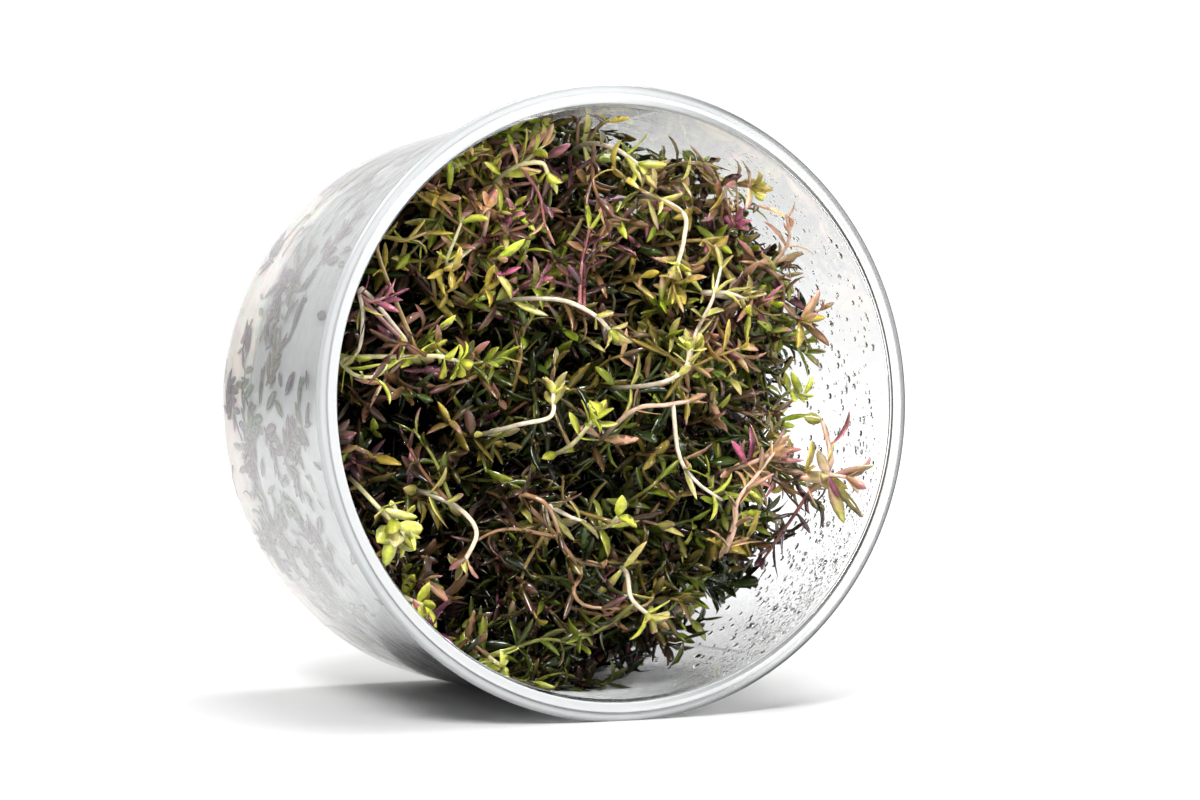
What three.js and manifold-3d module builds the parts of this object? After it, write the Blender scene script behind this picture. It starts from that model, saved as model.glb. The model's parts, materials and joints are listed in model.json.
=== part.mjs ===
// Rotala plantlets in a round clear cup that lies on its side.
// Millimetres, +Z up. The mouth of the cup faces -Y and tips up a little.

import * as THREE from "three";
import { mergeVertices } from "three/addons/utils/BufferGeometryUtils.js";
import Module from "manifold-3d";

const wasm = await Module();
wasm.setup();

// Cup
const CUP_DEPTH = 61.5;
const RIM_RADIUS = 47.5;
const RIM_STEP_RADIUS = 46;
const RIM_STEP = 0.4;
const FLANGE_THICKNESS = 1.5;
const MOUTH_RADIUS = 44.5;
const NECK_RADIUS = 45.4;
const BASE_RADIUS = 44.4;
const WALL = 0.9;
const CORNER_RADIUS = 5;
const CORNER_STEPS = 3;
const CUP_SIDES = 48;
// The soft plastic lies on a flat this deep, at its flange and its base corner, so the cup doesn't roll.
const REST_FLAT = 0.25;

// Gel pad
const GAP = 0.3;
const GEL_TOP = 17;
const GEL_RISE = 1.2;
const GEL_SIDES = 24;

// Plantlets
const STEM_RADIUS = 0.5;
const STEM_STEP = 7;
const STEM_FOOT = GEL_TOP + GAP;
const LEAF_LENGTH = 5.6;
const LEAF_WIDTH = 1.5;
const LEAF_THICKNESS = 0.5;
const LEAF_SPACING = 8;
const LEAF_SINK = 0.35;
const LEAF_PITCH = [48, 78];
const TIP_PITCH = [22, 48];
const LENGTH_SPREAD = [0.82, 1.18];
const TIP_AT = 0.985;
const PAIR_JITTER = 0.6;
const PLANTING_RADIUS = 38.5;
const PLANTING_SPOTS = 52;
const SPOT_CLEARANCE = 5.6;
const SLIVER = 0.02;
const TURN = Math.PI * (3 - Math.sqrt(5));

// Sprigs that show one by one, from the root up to the tip, as [x, y, height] in the upright cup.
// leafy is the part of the stem that carries ordinary pairs, tip is the length of the last leaves.
const SPRIGS = [
  { name: "pale_sprig_top", color: "pale", leafy: 0.55, tip: 4.8, tipLeaves: 3,
    path: [[0, 32], [-0.5, 36, 36], [0.6, 39.4, 47], [3, 38.4, 53.4], [7.4, 36, 52.6]] },
  { name: "drooping_sprig_top", color: "pale", leafy: 0.5, tip: 2.8, tipLeaves: 2,
    path: [
      [8, 26], [8.2, 30, 40], [9.4, 31.4, 50],
      [13.4, 28.6, 55], [13.3, 24.5, 55.4], [12.3, 20.6, 55],
    ] },
  { name: "yellow_tip_top", color: "yellow", leafy: 0.55, tip: 3, tipLeaves: 2,
    path: [
      [-11, 26], [-13, 29, 38], [-15.4, 32.6, 48],
      [-13.4, 35.4, 54], [-9.8, 36, 55.6], [-8.4, 34.4, 55],
    ] },
  { name: "pink_sprig_top", color: "pink", leafy: 0.6, tip: 3.6, tipLeaves: 4,
    path: [[-18, 22], [-17, 23, 38], [-16.4, 24.6, 47], [-17.3, 29.6, 53.6]] },
  { name: "long_white_stem", color: "pale", leafy: 0.45, tip: 3.6, tipLeaves: 4,
    path: [
      [-17, 13], [-15, 14.5, 38], [-12.6, 15.8, 49],
      [-6.6, 15.6, 54.2], [-1.8, 13.4, 55.4], [1.2, 11, 54.6],
    ] },
  { name: "round_leaf_pair", color: "yellow", leafy: 0.55, tip: 3.4, tipLeaves: 3,
    path: [[-30, 6], [-29, 6.6, 38], [-28.6, 7.4, 50], [-26, 7.4, 54.4], [-23, 6.6, 54.6]] },
  { name: "white_arch", color: "pale", leafy: 0.45, tip: 3.8, tipLeaves: 4,
    path: [
      [-20, -4], [-18.6, -4.6, 38], [-17.4, -4.2, 49],
      [-13.6, -2.9, 54.4], [-9, -1.8, 55.4], [-8.2, 1.6, 54.8],
    ] },
  { name: "bright_fork", color: "yellow", leafy: 0.6, tip: 4, tipLeaves: 4,
    path: [[-6, -10], [-5, -8.6, 38], [-3.6, -6.4, 49], [-1.6, -2.6, 53.8]] },
  { name: "pink_arch", color: "pink", leafy: 0.45, tip: 3.6, tipLeaves: 3,
    path: [
      [4, -8], [2.6, -7.4, 38], [1.4, -5.4, 49.4],
      [5, -1, 54.4], [10.4, -0.4, 54], [15.2, 0.2, 52.6],
    ] },
  { name: "white_riser", color: "pale", leafy: 0.5, tip: 3.2, tipLeaves: 4,
    path: [
      [3, 5], [3.4, 3.4, 38], [4.4, 2.4, 50],
      [9.4, 3, 55], [12.8, 5, 55.8], [13.8, 8, 55.6],
    ] },
  { name: "yellow_cluster", color: "yellow", leafy: 0.4, tip: 4.6, tipLeaves: 5,
    path: [
      [-36, -7], [-37.4, -8.6, 38], [-38, -10.8, 49],
      [-36.2, -14.4, 54.2], [-33.4, -17.6, 54.8],
    ] },
  { name: "pink_hook", color: "pale", leafy: 0.5, tip: 3.4, tipLeaves: 3,
    path: [
      [-29.5, -9.5], [-29.6, -10.6, 38], [-28.6, -12.2, 49.6],
      [-24, -14.8, 54.6], [-21.4, -18.6, 56], [-23, -23, 55],
    ] },
  { name: "yellow_blade_low", color: "yellow", leafy: 0.7, tip: 4.4, tipLeaves: 2,
    path: [[1, -20], [1.6, -19.4, 38], [2.2, -18.6, 49], [2.4, -17, 53.6]] },
  { name: "white_sprig_low", color: "pale", leafy: 0.5, tip: 3.8, tipLeaves: 4,
    path: [[8, -26], [6.4, -25, 38], [4.8, -25.4, 50], [3.8, -29.4, 54.6], [6.6, -32.2, 55]] },
  { name: "round_leaf_right", color: "yellow", leafy: 0.8, tip: 3, tipLeaves: 2,
    path: [[27, -20], [27, -19, 32], [27.4, -17.4, 45.4]] },
  { name: "rim_sprig_left", color: "yellow", leafy: 0.7, tip: 3.6, tipLeaves: 2,
    path: [[-27, -23], [-28.6, -25, 36], [-30, -28, 48], [-29.4, -29.2, 54.4]] },
  { name: "rim_sprig_low", color: "yellow", leafy: 0.7, tip: 3, tipLeaves: 2,
    path: [[-15, -31], [-16, -34, 36], [-17, -37.4, 48], [-17.3, -38.8, 55]] },
  { name: "magenta_whorl", color: "magenta", leafy: 0.85, tip: 3, tipLeaves: 5,
    path: [[25, 25], [25.6, 26, 34], [26.4, 27.4, 46]] },
  { name: "reaching_sprig_right", color: "pink", leafy: 0.5, tip: 5, tipLeaves: 4,
    path: [[32, -7], [32, -9, 36], [32.6, -10.8, 48], [36, -11.4, 55], [38.6, -12, 57.6]] },
  { name: "sprig_top_right", color: "olive", leafy: 0.8, tip: 4, tipLeaves: 4,
    path: [[19, 31], [20, 32.6, 34], [22.6, 33.6, 46], [26, 32.8, 53]] },
  { name: "pale_sprig_right", color: "pale", leafy: 0.75, tip: 4, tipLeaves: 4,
    path: [[28, 14], [28, 15, 34], [27.6, 16.4, 45.6]] },
  { name: "sprig_right", color: "olive", leafy: 0.85, tip: 4.4, tipLeaves: 4,
    path: [[35.5, 8], [36, 10, 34], [37.4, 12.4, 46]] },
  { name: "pink_sprig_right", color: "pink", leafy: 0.7, tip: 4.4, tipLeaves: 4,
    path: [[21.5, -12], [22.6, -11.6, 36], [26, -10, 47], [29, -8.4, 50.6]] },
  { name: "olive_sprig_low", color: "olive", leafy: 0.7, tip: 4, tipLeaves: 4,
    path: [[-10, -17], [-8.6, -17, 38], [-7.6, -18, 49], [-6, -22.6, 53.6]] },
];

const COLORS = {
  green: 0x4f6b1c,
  olive: 0x6e6a2a,
  bronze: 0x6b4038,
  pink: 0xb07a6a,
  magenta: 0x8a2f63,
  pale: 0xd9d3a8,
  yellow: 0xb9c93c,
};
const PACKED_COLORS = ["green", "bronze", "olive", "bronze"];

// Packed plantlets
const PACKED_SEED = 7;
const PACKED_HEIGHT = [20, 29];
const PACKED_LEAN = 4;
const PACKED_BOW = 2.4;

// Repeatable draws between 0 and 1, so that the same plants grow each time.
function drawsFrom(seed) {
  let state = seed;
  return () => {
    state = (state + 0x6d2b79f5) | 0;
    let mixed = Math.imul(state ^ (state >>> 15), 1 | state);
    mixed = (mixed + Math.imul(mixed ^ (mixed >>> 7), 61 | mixed)) ^ mixed;
    return ((mixed ^ (mixed >>> 14)) >>> 0) / 4294967296;
  };
}

function between([low, high], share) {
  return low + (high - low) * share;
}

function closed(geometry) {
  geometry.deleteAttribute("normal");
  geometry.deleteAttribute("uv");
  return mergeVertices(geometry, 1e-4);
}

function solidOf(geometry) {
  return new wasm.Manifold(
    new wasm.Mesh({
      numProp: 3,
      vertProperties: new Float32Array(geometry.attributes.position.array),
      triVerts: new Uint32Array(geometry.index.array),
    }),
  );
}

function geometryOf(solid) {
  const mesh = solid.getMesh();
  const geometry = new THREE.BufferGeometry();
  geometry.setAttribute("position", new THREE.BufferAttribute(mesh.vertProperties, 3));
  geometry.setIndex(new THREE.BufferAttribute(mesh.triVerts, 1));
  return geometry;
}

// A profile of [radius, height] pairs turned about the upright cup's axis, with a flat facet at the bottom
// of the lying cup.
function turned(profile, sides) {
  const points = profile.map(([radius, height]) => new THREE.Vector2(radius, height));
  const geometry = new THREE.LatheGeometry(points, sides, Math.PI / sides, Math.PI * 2);
  geometry.rotateX(Math.PI / 2);
  return closed(geometry);
}

// The quarter round between base and wall, at a distance from the corner's centre.
function cornerArc(radius) {
  const centre = BASE_RADIUS - CORNER_RADIUS;
  return Array.from({ length: CORNER_STEPS + 1 }, (_, step) => {
    const angle = (step / CORNER_STEPS) * (Math.PI / 2);
    return [centre + radius * Math.sin(angle), CORNER_RADIUS - radius * Math.cos(angle)];
  });
}

function cupGeometry() {
  const outside = [
    [0, 0],
    ...cornerArc(CORNER_RADIUS),
    [NECK_RADIUS, CUP_DEPTH - FLANGE_THICKNESS],
    [RIM_RADIUS, CUP_DEPTH - FLANGE_THICKNESS],
    [RIM_RADIUS, CUP_DEPTH - RIM_STEP],
    [RIM_STEP_RADIUS, CUP_DEPTH - RIM_STEP],
    [RIM_STEP_RADIUS, CUP_DEPTH],
  ];
  const inside = [
    [0, WALL],
    ...cornerArc(CORNER_RADIUS - WALL),
    [MOUTH_RADIUS, CUP_DEPTH],
  ];
  const whole = solidOf(turned([...outside, ...inside.reverse()], CUP_SIDES));
  const tilt = restingTilt();
  const bearing = RIM_RADIUS * Math.cos(Math.PI / CUP_SIDES);
  const lowest = (CUP_DEPTH - FLANGE_THICKNESS) * Math.sin(tilt) - bearing * Math.cos(tilt);
  return geometryOf(whole.trimByPlane([0, Math.cos(tilt), Math.sin(tilt)], lowest + REST_FLAT));
}

// Radius of the cup's inner wall at a height, where the wall is straight.
function innerRadius(height) {
  const share = (height - CORNER_RADIUS) / (CUP_DEPTH - CORNER_RADIUS);
  return THREE.MathUtils.lerp(BASE_RADIUS - WALL, MOUTH_RADIUS, share) * Math.cos(Math.PI / CUP_SIDES);
}

function gelGeometry() {
  const edge = innerRadius(GEL_TOP) - GAP;
  const inset = Math.cos(Math.PI / CUP_SIDES);
  const foot = cornerArc(CORNER_RADIUS - WALL - GAP);
  const profile = [
    [0, WALL + GAP],
    ...foot.map(([radius, height]) => [radius * inset, height]),
    [edge, GEL_TOP + GEL_RISE],
    [edge - 3 * GEL_RISE, GEL_TOP],
    [0, GEL_TOP],
  ];
  return turned(profile, GEL_SIDES);
}

function stemCurve(path) {
  const points = path.map(([x, y, height]) => new THREE.Vector3(x, y, height ?? STEM_FOOT));
  return new THREE.CatmullRomCurve3(points, false, "catmullrom", 0.5);
}

// Stems are square, like those of the living plant.
function stemSolid(curve) {
  const section = new THREE.Shape([
    new THREE.Vector2(STEM_RADIUS, 0),
    new THREE.Vector2(0, STEM_RADIUS),
    new THREE.Vector2(-STEM_RADIUS, 0),
    new THREE.Vector2(0, -STEM_RADIUS),
  ]);
  const steps = Math.ceil(curve.getLength() / STEM_STEP);
  const stem = new THREE.ExtrudeGeometry(section, { steps, extrudePath: curve, bevelEnabled: false });
  return solidOf(closed(stem));
}

// A leaf is a flat lozenge from its foot to its tip, with a low keel below.
function leafSolid(leaf) {
  const along = leaf.line.delta(new THREE.Vector3()).normalize();
  const across = new THREE.Vector3().crossVectors(leaf.face, along).normalize();
  const up = new THREE.Vector3().crossVectors(along, across);
  const length = leaf.line.distance() + LEAF_SINK;
  const centre = leaf.line.end.clone().addScaledVector(along, -length / 2);
  const placing = new THREE.Matrix4().makeBasis(
    up.multiplyScalar(LEAF_THICKNESS / 1.5),
    along.multiplyScalar(length / 2),
    across.multiplyScalar(LEAF_WIDTH / Math.sqrt(3)),
  );
  placing.setPosition(centre);
  return solidOf(closed(new THREE.SphereGeometry(1, 3, 2)).applyMatrix4(placing));
}

// The leaf that leaves the stem at a share of its length, turned about it and pitched away from it.
function leafAt(curve, share, turn, pitchDegrees, length) {
  const pitch = THREE.MathUtils.degToRad(pitchDegrees);
  const foot = curve.getPoint(share);
  const tangent = curve.getTangent(share);
  const side = new THREE.Vector3(0, 0, 1).cross(tangent);
  if (side.lengthSq() < 0.01) {
    side.set(1, 0, 0);
  }
  side.normalize().applyAxisAngle(tangent, turn);
  const along = tangent.clone().multiplyScalar(Math.cos(pitch)).addScaledVector(side, Math.sin(pitch));
  const face = tangent.clone().multiplyScalar(Math.sin(pitch)).addScaledVector(side, -Math.cos(pitch));
  return { line: new THREE.Line3(foot, foot.clone().addScaledVector(along, length)), face };
}

// Opposite pairs, each turned a quarter from the last, and a few leaves at the tip.
function leavesOf(plantlet, curve) {
  const draw = drawsFrom(plantlet.seed);
  const leaves = [];
  const pairs = Math.floor((curve.getLength() * plantlet.leafy) / LEAF_SPACING);
  let turn = draw() * Math.PI;
  for (let pair = 0; pair < pairs; pair += 1) {
    const share = (plantlet.leafy * (pair + 0.8)) / pairs;
    turn += Math.PI / 2 + (draw() - 0.5) * PAIR_JITTER;
    for (const half of [0, Math.PI]) {
      const pitch = between(LEAF_PITCH, draw());
      const length = LEAF_LENGTH * between(LENGTH_SPREAD, draw());
      leaves.push(leafAt(curve, share, turn + half, pitch, length));
    }
  }
  for (let leaf = 0; leaf < plantlet.tipLeaves; leaf += 1) {
    const pitch = between(TIP_PITCH, draw());
    const length = plantlet.tip * between(LENGTH_SPREAD, draw());
    const around = turn + ((leaf + 0.5) * Math.PI * 2) / plantlet.tipLeaves;
    leaves.push(leafAt(curve, TIP_AT, around, pitch, length));
  }
  return leaves;
}

// Spots on a sunflower spiral, with those next to a named sprig's root left free.
function packedPlantlets() {
  const roots = SPRIGS.map((sprig) => sprig.path[0]);
  const plantlets = [];
  for (let spot = 0; spot < PLANTING_SPOTS; spot += 1) {
    const draw = drawsFrom(PACKED_SEED + spot * 101);
    const radius = PLANTING_RADIUS * Math.sqrt((spot + 0.5) / PLANTING_SPOTS);
    const x = radius * Math.cos(spot * TURN);
    const y = radius * Math.sin(spot * TURN);
    if (roots.some((root) => Math.hypot(root[0] - x, root[1] - y) < SPOT_CLEARANCE)) {
      continue;
    }
    const heading = draw() * Math.PI * 2;
    const bow = PACKED_BOW * (draw() * 2 - 1);
    const lean = PACKED_LEAN * draw();
    const height = between(PACKED_HEIGHT, draw());
    const at = (share) => [
      x + Math.cos(heading) * lean * share - Math.sin(heading) * bow * Math.sin(Math.PI * share),
      y + Math.sin(heading) * lean * share + Math.cos(heading) * bow * Math.sin(Math.PI * share),
      STEM_FOOT + height * share,
    ];
    plantlets.push({
      name: `plantlet_${String(plantlets.length + 1).padStart(2, "0")}`,
      color: PACKED_COLORS[plantlets.length % PACKED_COLORS.length],
      leafy: 0.92,
      tip: 3.8,
      tipLeaves: 2,
      path: [at(0), at(0.35), at(0.7), at(1)],
    });
  }
  return plantlets;
}

// True where a leaf keeps clear of the wall, the gel and every other plantlet.
function hasRoom(leaf, owner, grown) {
  const reach = LEAF_WIDTH / 2;
  for (const share of [0.5, 1]) {
    const point = leaf.line.at(share, new THREE.Vector3());
    const inWall = Math.hypot(point.x, point.y) > innerRadius(point.z) - GAP - reach / 2;
    const inGel = point.z < STEM_FOOT + reach;
    const pastMouth = point.z > CUP_DEPTH - GAP;
    if (inWall || inGel || pastMouth) {
      return false;
    }
  }
  return grown.every((other) => {
    const clearance = reach + other.radius + GAP / 2;
    return other.owner === owner || leaf.line.distanceSqToLine3(other.line) > clearance * clearance;
  });
}

function plantletMeshes(plantlets) {
  const curves = plantlets.map((plantlet) => stemCurve(plantlet.path));
  const grown = [];
  curves.forEach((curve, owner) => {
    const points = curve.getPoints(16);
    points.slice(1).forEach((end, index) => {
      grown.push({ owner, line: new THREE.Line3(points[index], end), radius: STEM_RADIUS });
    });
  });
  return plantlets.map((plantlet, owner) => {
    const kept = leavesOf(plantlet, curves[owner]).filter((leaf) => {
      const free = hasRoom(leaf, owner, grown);
      if (free) {
        grown.push({ owner, line: leaf.line, radius: LEAF_WIDTH / 2 });
      }
      return free;
    });
    const grownTogether = wasm.Manifold.union([stemSolid(curves[owner]), ...kept.map(leafSolid)]);
    const solid = grownTogether.simplify(SLIVER);
    return namedMesh(plantlet.name, geometryOf(solid), { color: COLORS[plantlet.color], roughness: 0.35 });
  });
}

function namedMesh(name, geometry, material) {
  const mesh = new THREE.Mesh(geometry, new THREE.MeshStandardMaterial(material));
  mesh.name = name;
  return mesh;
}

// The cup lies on the back edge of its flange and on its rounded base corner.
function restingTilt() {
  const drop = RIM_RADIUS - (BASE_RADIUS - CORNER_RADIUS);
  const run = CUP_DEPTH - FLANGE_THICKNESS - CORNER_RADIUS;
  return Math.acos(CORNER_RADIUS / Math.hypot(drop, run)) - Math.atan2(run, drop);
}

const plantlets = [...SPRIGS, ...packedPlantlets()];
plantlets.forEach((plantlet, index) => {
  plantlet.seed = 1000 + index * 29;
});
const clearPlastic = { color: 0xf2f6f7, roughness: 0.05, transparent: true, opacity: 0.25 };
const cloudyGel = { color: 0xf0e2cf, roughness: 0.2, transparent: true, opacity: 0.7 };

const upright = new THREE.Group();
upright.add(namedMesh("cup", cupGeometry(), clearPlastic));
upright.add(namedMesh("gel", gelGeometry(), cloudyGel));
upright.add(...plantletMeshes(plantlets));
upright.rotation.x = Math.PI / 2 - restingTilt();

// The origin is the middle of the bottom of the lying cup's box.
const part = new THREE.Group();
part.add(upright);
part.updateMatrixWorld(true);
const box = new THREE.Box3().setFromObject(part, true);
upright.position.set(-(box.min.x + box.max.x) / 2, -(box.min.y + box.max.y) / 2, -box.min.z);

export default part;
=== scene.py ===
# Rotala plantlets in a clear culture cup that lies on its side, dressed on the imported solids.
import json
import math
import random

import bpy
import numpy as np
from mathutils import Matrix, Vector


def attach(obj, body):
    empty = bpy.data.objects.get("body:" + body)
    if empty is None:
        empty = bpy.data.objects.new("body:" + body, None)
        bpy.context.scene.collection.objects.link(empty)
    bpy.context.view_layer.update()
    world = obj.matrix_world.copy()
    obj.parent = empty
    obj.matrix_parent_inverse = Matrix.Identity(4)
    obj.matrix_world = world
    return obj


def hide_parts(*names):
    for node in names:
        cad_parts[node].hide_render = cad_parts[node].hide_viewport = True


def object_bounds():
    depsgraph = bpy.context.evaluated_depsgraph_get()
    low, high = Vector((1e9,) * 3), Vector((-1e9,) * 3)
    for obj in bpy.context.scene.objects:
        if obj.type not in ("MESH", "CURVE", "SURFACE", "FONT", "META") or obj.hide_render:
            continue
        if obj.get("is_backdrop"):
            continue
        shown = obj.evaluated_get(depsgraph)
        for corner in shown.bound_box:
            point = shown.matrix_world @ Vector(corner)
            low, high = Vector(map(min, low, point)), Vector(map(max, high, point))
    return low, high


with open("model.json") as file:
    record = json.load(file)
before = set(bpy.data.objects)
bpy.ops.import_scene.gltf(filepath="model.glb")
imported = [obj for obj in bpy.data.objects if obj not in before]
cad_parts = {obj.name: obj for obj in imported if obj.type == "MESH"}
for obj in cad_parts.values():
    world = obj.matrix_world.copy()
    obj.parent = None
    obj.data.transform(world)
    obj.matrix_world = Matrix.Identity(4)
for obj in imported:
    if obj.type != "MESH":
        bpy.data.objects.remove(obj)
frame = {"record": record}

cad_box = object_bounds()

MM = 0.001

# Cup, in millimetres, as in the part's source
CUP_DEPTH = 61.5
RIM_RADIUS = 47.4
RIM_STEP_RADIUS = 46.0
RIM_STEP = 0.4
FLANGE_FOOT = CUP_DEPTH - 1.5
MOUTH_RADIUS = 44.5
NECK_RADIUS = 45.4
BASE_RADIUS = 44.4
WALL = 0.9
CORNER_RADIUS = 5.0
INNER_FOOT_RADIUS = BASE_RADIUS - WALL
WALL_TAPER = (MOUTH_RADIUS - INNER_FOOT_RADIUS) / (CUP_DEPTH - CORNER_RADIUS)

# Its rounded edges and the fineness of its form, which are the scene's own
FLANGE_FILLET = 0.35
STEP_FILLET = 0.12
STEP_ROUND = 0.15
MOUTH_ROUND = 0.2
EDGE_LOOP = 0.15
CUP_SIDES = 192
WALL_RINGS = (6, 9, 18, 30, 42, 52, 57, 58.8, 59.5)

# Gel pad, with how it climbs the wall as [distance from its edge, height above its top]
GAP = 0.3
GEL_TOP = 17.0
GEL_SIDES = 96
GEL_CLIMB = ((0, 1.2), (0.6, 0.6), (2.0, 0.15), (4.0, 0))

# Plantlets
STEM_FOOT = GEL_TOP + GAP
LEAF_LENGTH = 5.6
LEAF_WIDTH = 1.5
LEAF_SPACING = 8.0
LEAF_PITCH = (48, 78)
TIP_PITCH = (22, 48)
LENGTH_SPREAD = (0.82, 1.18)
TIP_AT = 0.985
PAIR_JITTER = 0.6
PLANTING_RADIUS = 38.5
PLANTING_SPOTS = 52
SPOT_CLEARANCE = 5.6
TURN = math.pi * (3 - math.sqrt(5))

# The lying cup's place comes from the flat of its base.
base = next(m for m in frame["record"]["mounts"] if m["name"] == "base_underside")
up_the_cup = -Vector(base["axis"])
across_the_cup = Vector((1, 0, 0))
LYING = Matrix.Identity(4)
LYING.col[0][:3] = across_the_cup
LYING.col[1][:3] = up_the_cup.cross(across_the_cup)
LYING.col[2][:3] = up_the_cup
LYING.translation = Vector(base["pos_m"])


def between(limits, share):
    return limits[0] + (limits[1] - limits[0]) * share


def clamped(value, low=0, high=1):
    return min(max(value, low), high)


def unit(vectors):
    """One vector or rows of them, each at a length of 1."""
    return vectors / np.linalg.norm(vectors, axis=-1, keepdims=True)


def heading_to(angle):
    """The level direction at an angle round the cup's axis."""
    return np.array([math.cos(angle), math.sin(angle), 0.0])


def off_axis(point):
    return math.hypot(point[0], point[1])


# Camera, at the photograph's angle
AZIMUTH = math.radians(-22.44)
ELEVATION = math.radians(2.58)
DISTANCE = 0.6256
TARGET = Vector((0.00918, 0.000185, 0.04613))
camera_data = bpy.data.cameras.new("camera")
camera_data.lens = 120
camera_data.sensor_width = 36
camera_data.clip_start = 0.01
camera_data.clip_end = 20
camera = bpy.data.objects.new("camera", camera_data)
bpy.context.scene.collection.objects.link(camera)
back = Vector((
    math.sin(AZIMUTH) * math.cos(ELEVATION),
    -math.cos(AZIMUTH) * math.cos(ELEVATION),
    math.sin(ELEVATION),
))
camera.location = TARGET + back * DISTANCE
camera.rotation_euler = (-back).to_track_quat("-Z", "Y").to_euler()
bpy.context.scene.camera = camera
bpy.context.scene.view_settings.view_transform = "Standard"
LIGHT_BOUNCES = 24
bpy.context.scene.cycles.max_bounces = LIGHT_BOUNCES
bpy.context.scene.cycles.transmission_bounces = LIGHT_BOUNCES


# Materials
class Nodes:
    """Short calls for the nodes of a material or of the sky."""

    def __init__(self, tree):
        self.nodes = tree.nodes
        self.links = tree.links

    def node(self, kind, inputs=None, **settings):
        """Makes a node and gives its outputs."""
        made = self.nodes.new("ShaderNode" + kind)
        for name, value in settings.items():
            setattr(made, name, value)
        for name, value in (inputs or {}).items():
            if isinstance(value, bpy.types.NodeSocket):
                self.links.new(value, made.inputs[name])
            else:
                made.inputs[name].default_value = value
        return made.outputs

    def position(self):
        return self.node("TexCoord")["Object"]

    def in_the_cup(self):
        """The place in the upright cup, in millimetres, as X, Y, height and distance from its axis."""
        inputs = {
            "Vector": self.position(), "Location": LYING.translation, "Rotation": LYING.to_euler(),
            "Scale": (MM, MM, MM),
        }
        axes = self.node("SeparateXYZ", {0: self.node("Mapping", inputs, vector_type="TEXTURE")["Vector"]})
        flat = self.node("CombineXYZ", {0: axes["X"], 1: axes["Y"]})[0]
        return axes["X"], axes["Y"], axes["Z"], self.length(flat)

    def noise(self, scale, detail):
        inputs = {"Scale": scale, "Detail": detail, "Vector": self.position()}
        return self.node("TexNoise", inputs)["Fac"]

    def span(self, value, low, high, to_low, to_high):
        """Takes low to to_low and high to to_high, and stays level beyond them."""
        inputs = {"Value": value, "From Min": low, "From Max": high, "To Min": to_low, "To Max": to_high}
        return self.node("MapRange", inputs)["Result"]

    def ramp(self, value, *stops):
        """A colour that runs from one stop to the next, each given as a place and a colour."""
        made = self.nodes.new("ShaderNodeValToRGB")
        self.links.new(value, made.inputs["Fac"])
        for element, (place, colour) in zip(made.color_ramp.elements, stops):
            element.position = place
            element.color = (*colour, 1)
        return made.outputs["Color"]

    def math(self, operation, first, second):
        return self.node("Math", {0: first, 1: second}, operation=operation)[0]

    def times(self, first, *others):
        for other in others:
            first = self.math("MULTIPLY", first, other)
        return first

    def vector(self, operation, first, second):
        return self.node("VectorMath", {0: first, 1: second}, operation=operation)[0]

    def length(self, vector):
        return self.node("VectorMath", {0: vector}, operation="LENGTH")["Value"]

    def unflagged(self, aside, flag):
        """What gets past a flag beside the sweep that holds back part of the light from the left."""
        starts = self.span(aside, -0.1, -0.3, 0.0, flag)
        ends = self.span(aside, -0.55, -0.75, 1.0, 0.0)
        return self.math("SUBTRACT", 1.0, self.times(starts, ends))

    def seen_directly(self):
        return self.node("LightPath")["Is Camera Ray"]


class Shade(Nodes):
    """A material under construction."""

    def __init__(self, name):
        self.material = bpy.data.materials.new(name)
        self.material.use_nodes = True
        super().__init__(self.material.node_tree)
        self.shader = self.nodes["Principled BSDF"]

    def set(self, **values):
        for name, value in values.items():
            self.shader.inputs[name.replace("_", " ")].default_value = value

    def to(self, name, output):
        self.links.new(output, self.shader.inputs[name])

    def bump(self, height, strength, distance):
        inputs = {"Height": height, "Strength": strength, "Distance": distance}
        self.to("Normal", self.node("Bump", inputs)["Normal"])


def painted_drop_shade(shade):
    """Painted shade: dark dots that stand in for fine water drops refracting darker surroundings, inside the
    wall low on the right and near the mouth.
    """
    x, y, height, radius = shade.in_the_cup()
    low = shade.span(y, -15, -27, 0, 1)
    right = shade.span(x, -4, 10, 0, 1)
    near_mouth = shade.times(shade.span(height, 34, 47, 0, 1), shade.span(height, 58.6, 59, 1, 0))
    straightened = shade.math("SUBTRACT", radius, shade.times(height, WALL_TAPER))
    inside = shade.span(straightened, INNER_FOOT_RADIUS + 0.2, INNER_FOOT_RADIUS + 0.5, 1, 0)
    cell = shade.node("TexVoronoi", {"Vector": shade.position(), "Scale": 1900.0})
    dot = shade.span(cell["Distance"], 0.26, 0.38, 1, 0)
    patchy = shade.span(shade.noise(260, 2), 0.40, 0.54, 0, 1)
    return shade.times(dot, patchy, low, right, near_mouth, inside)


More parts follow.
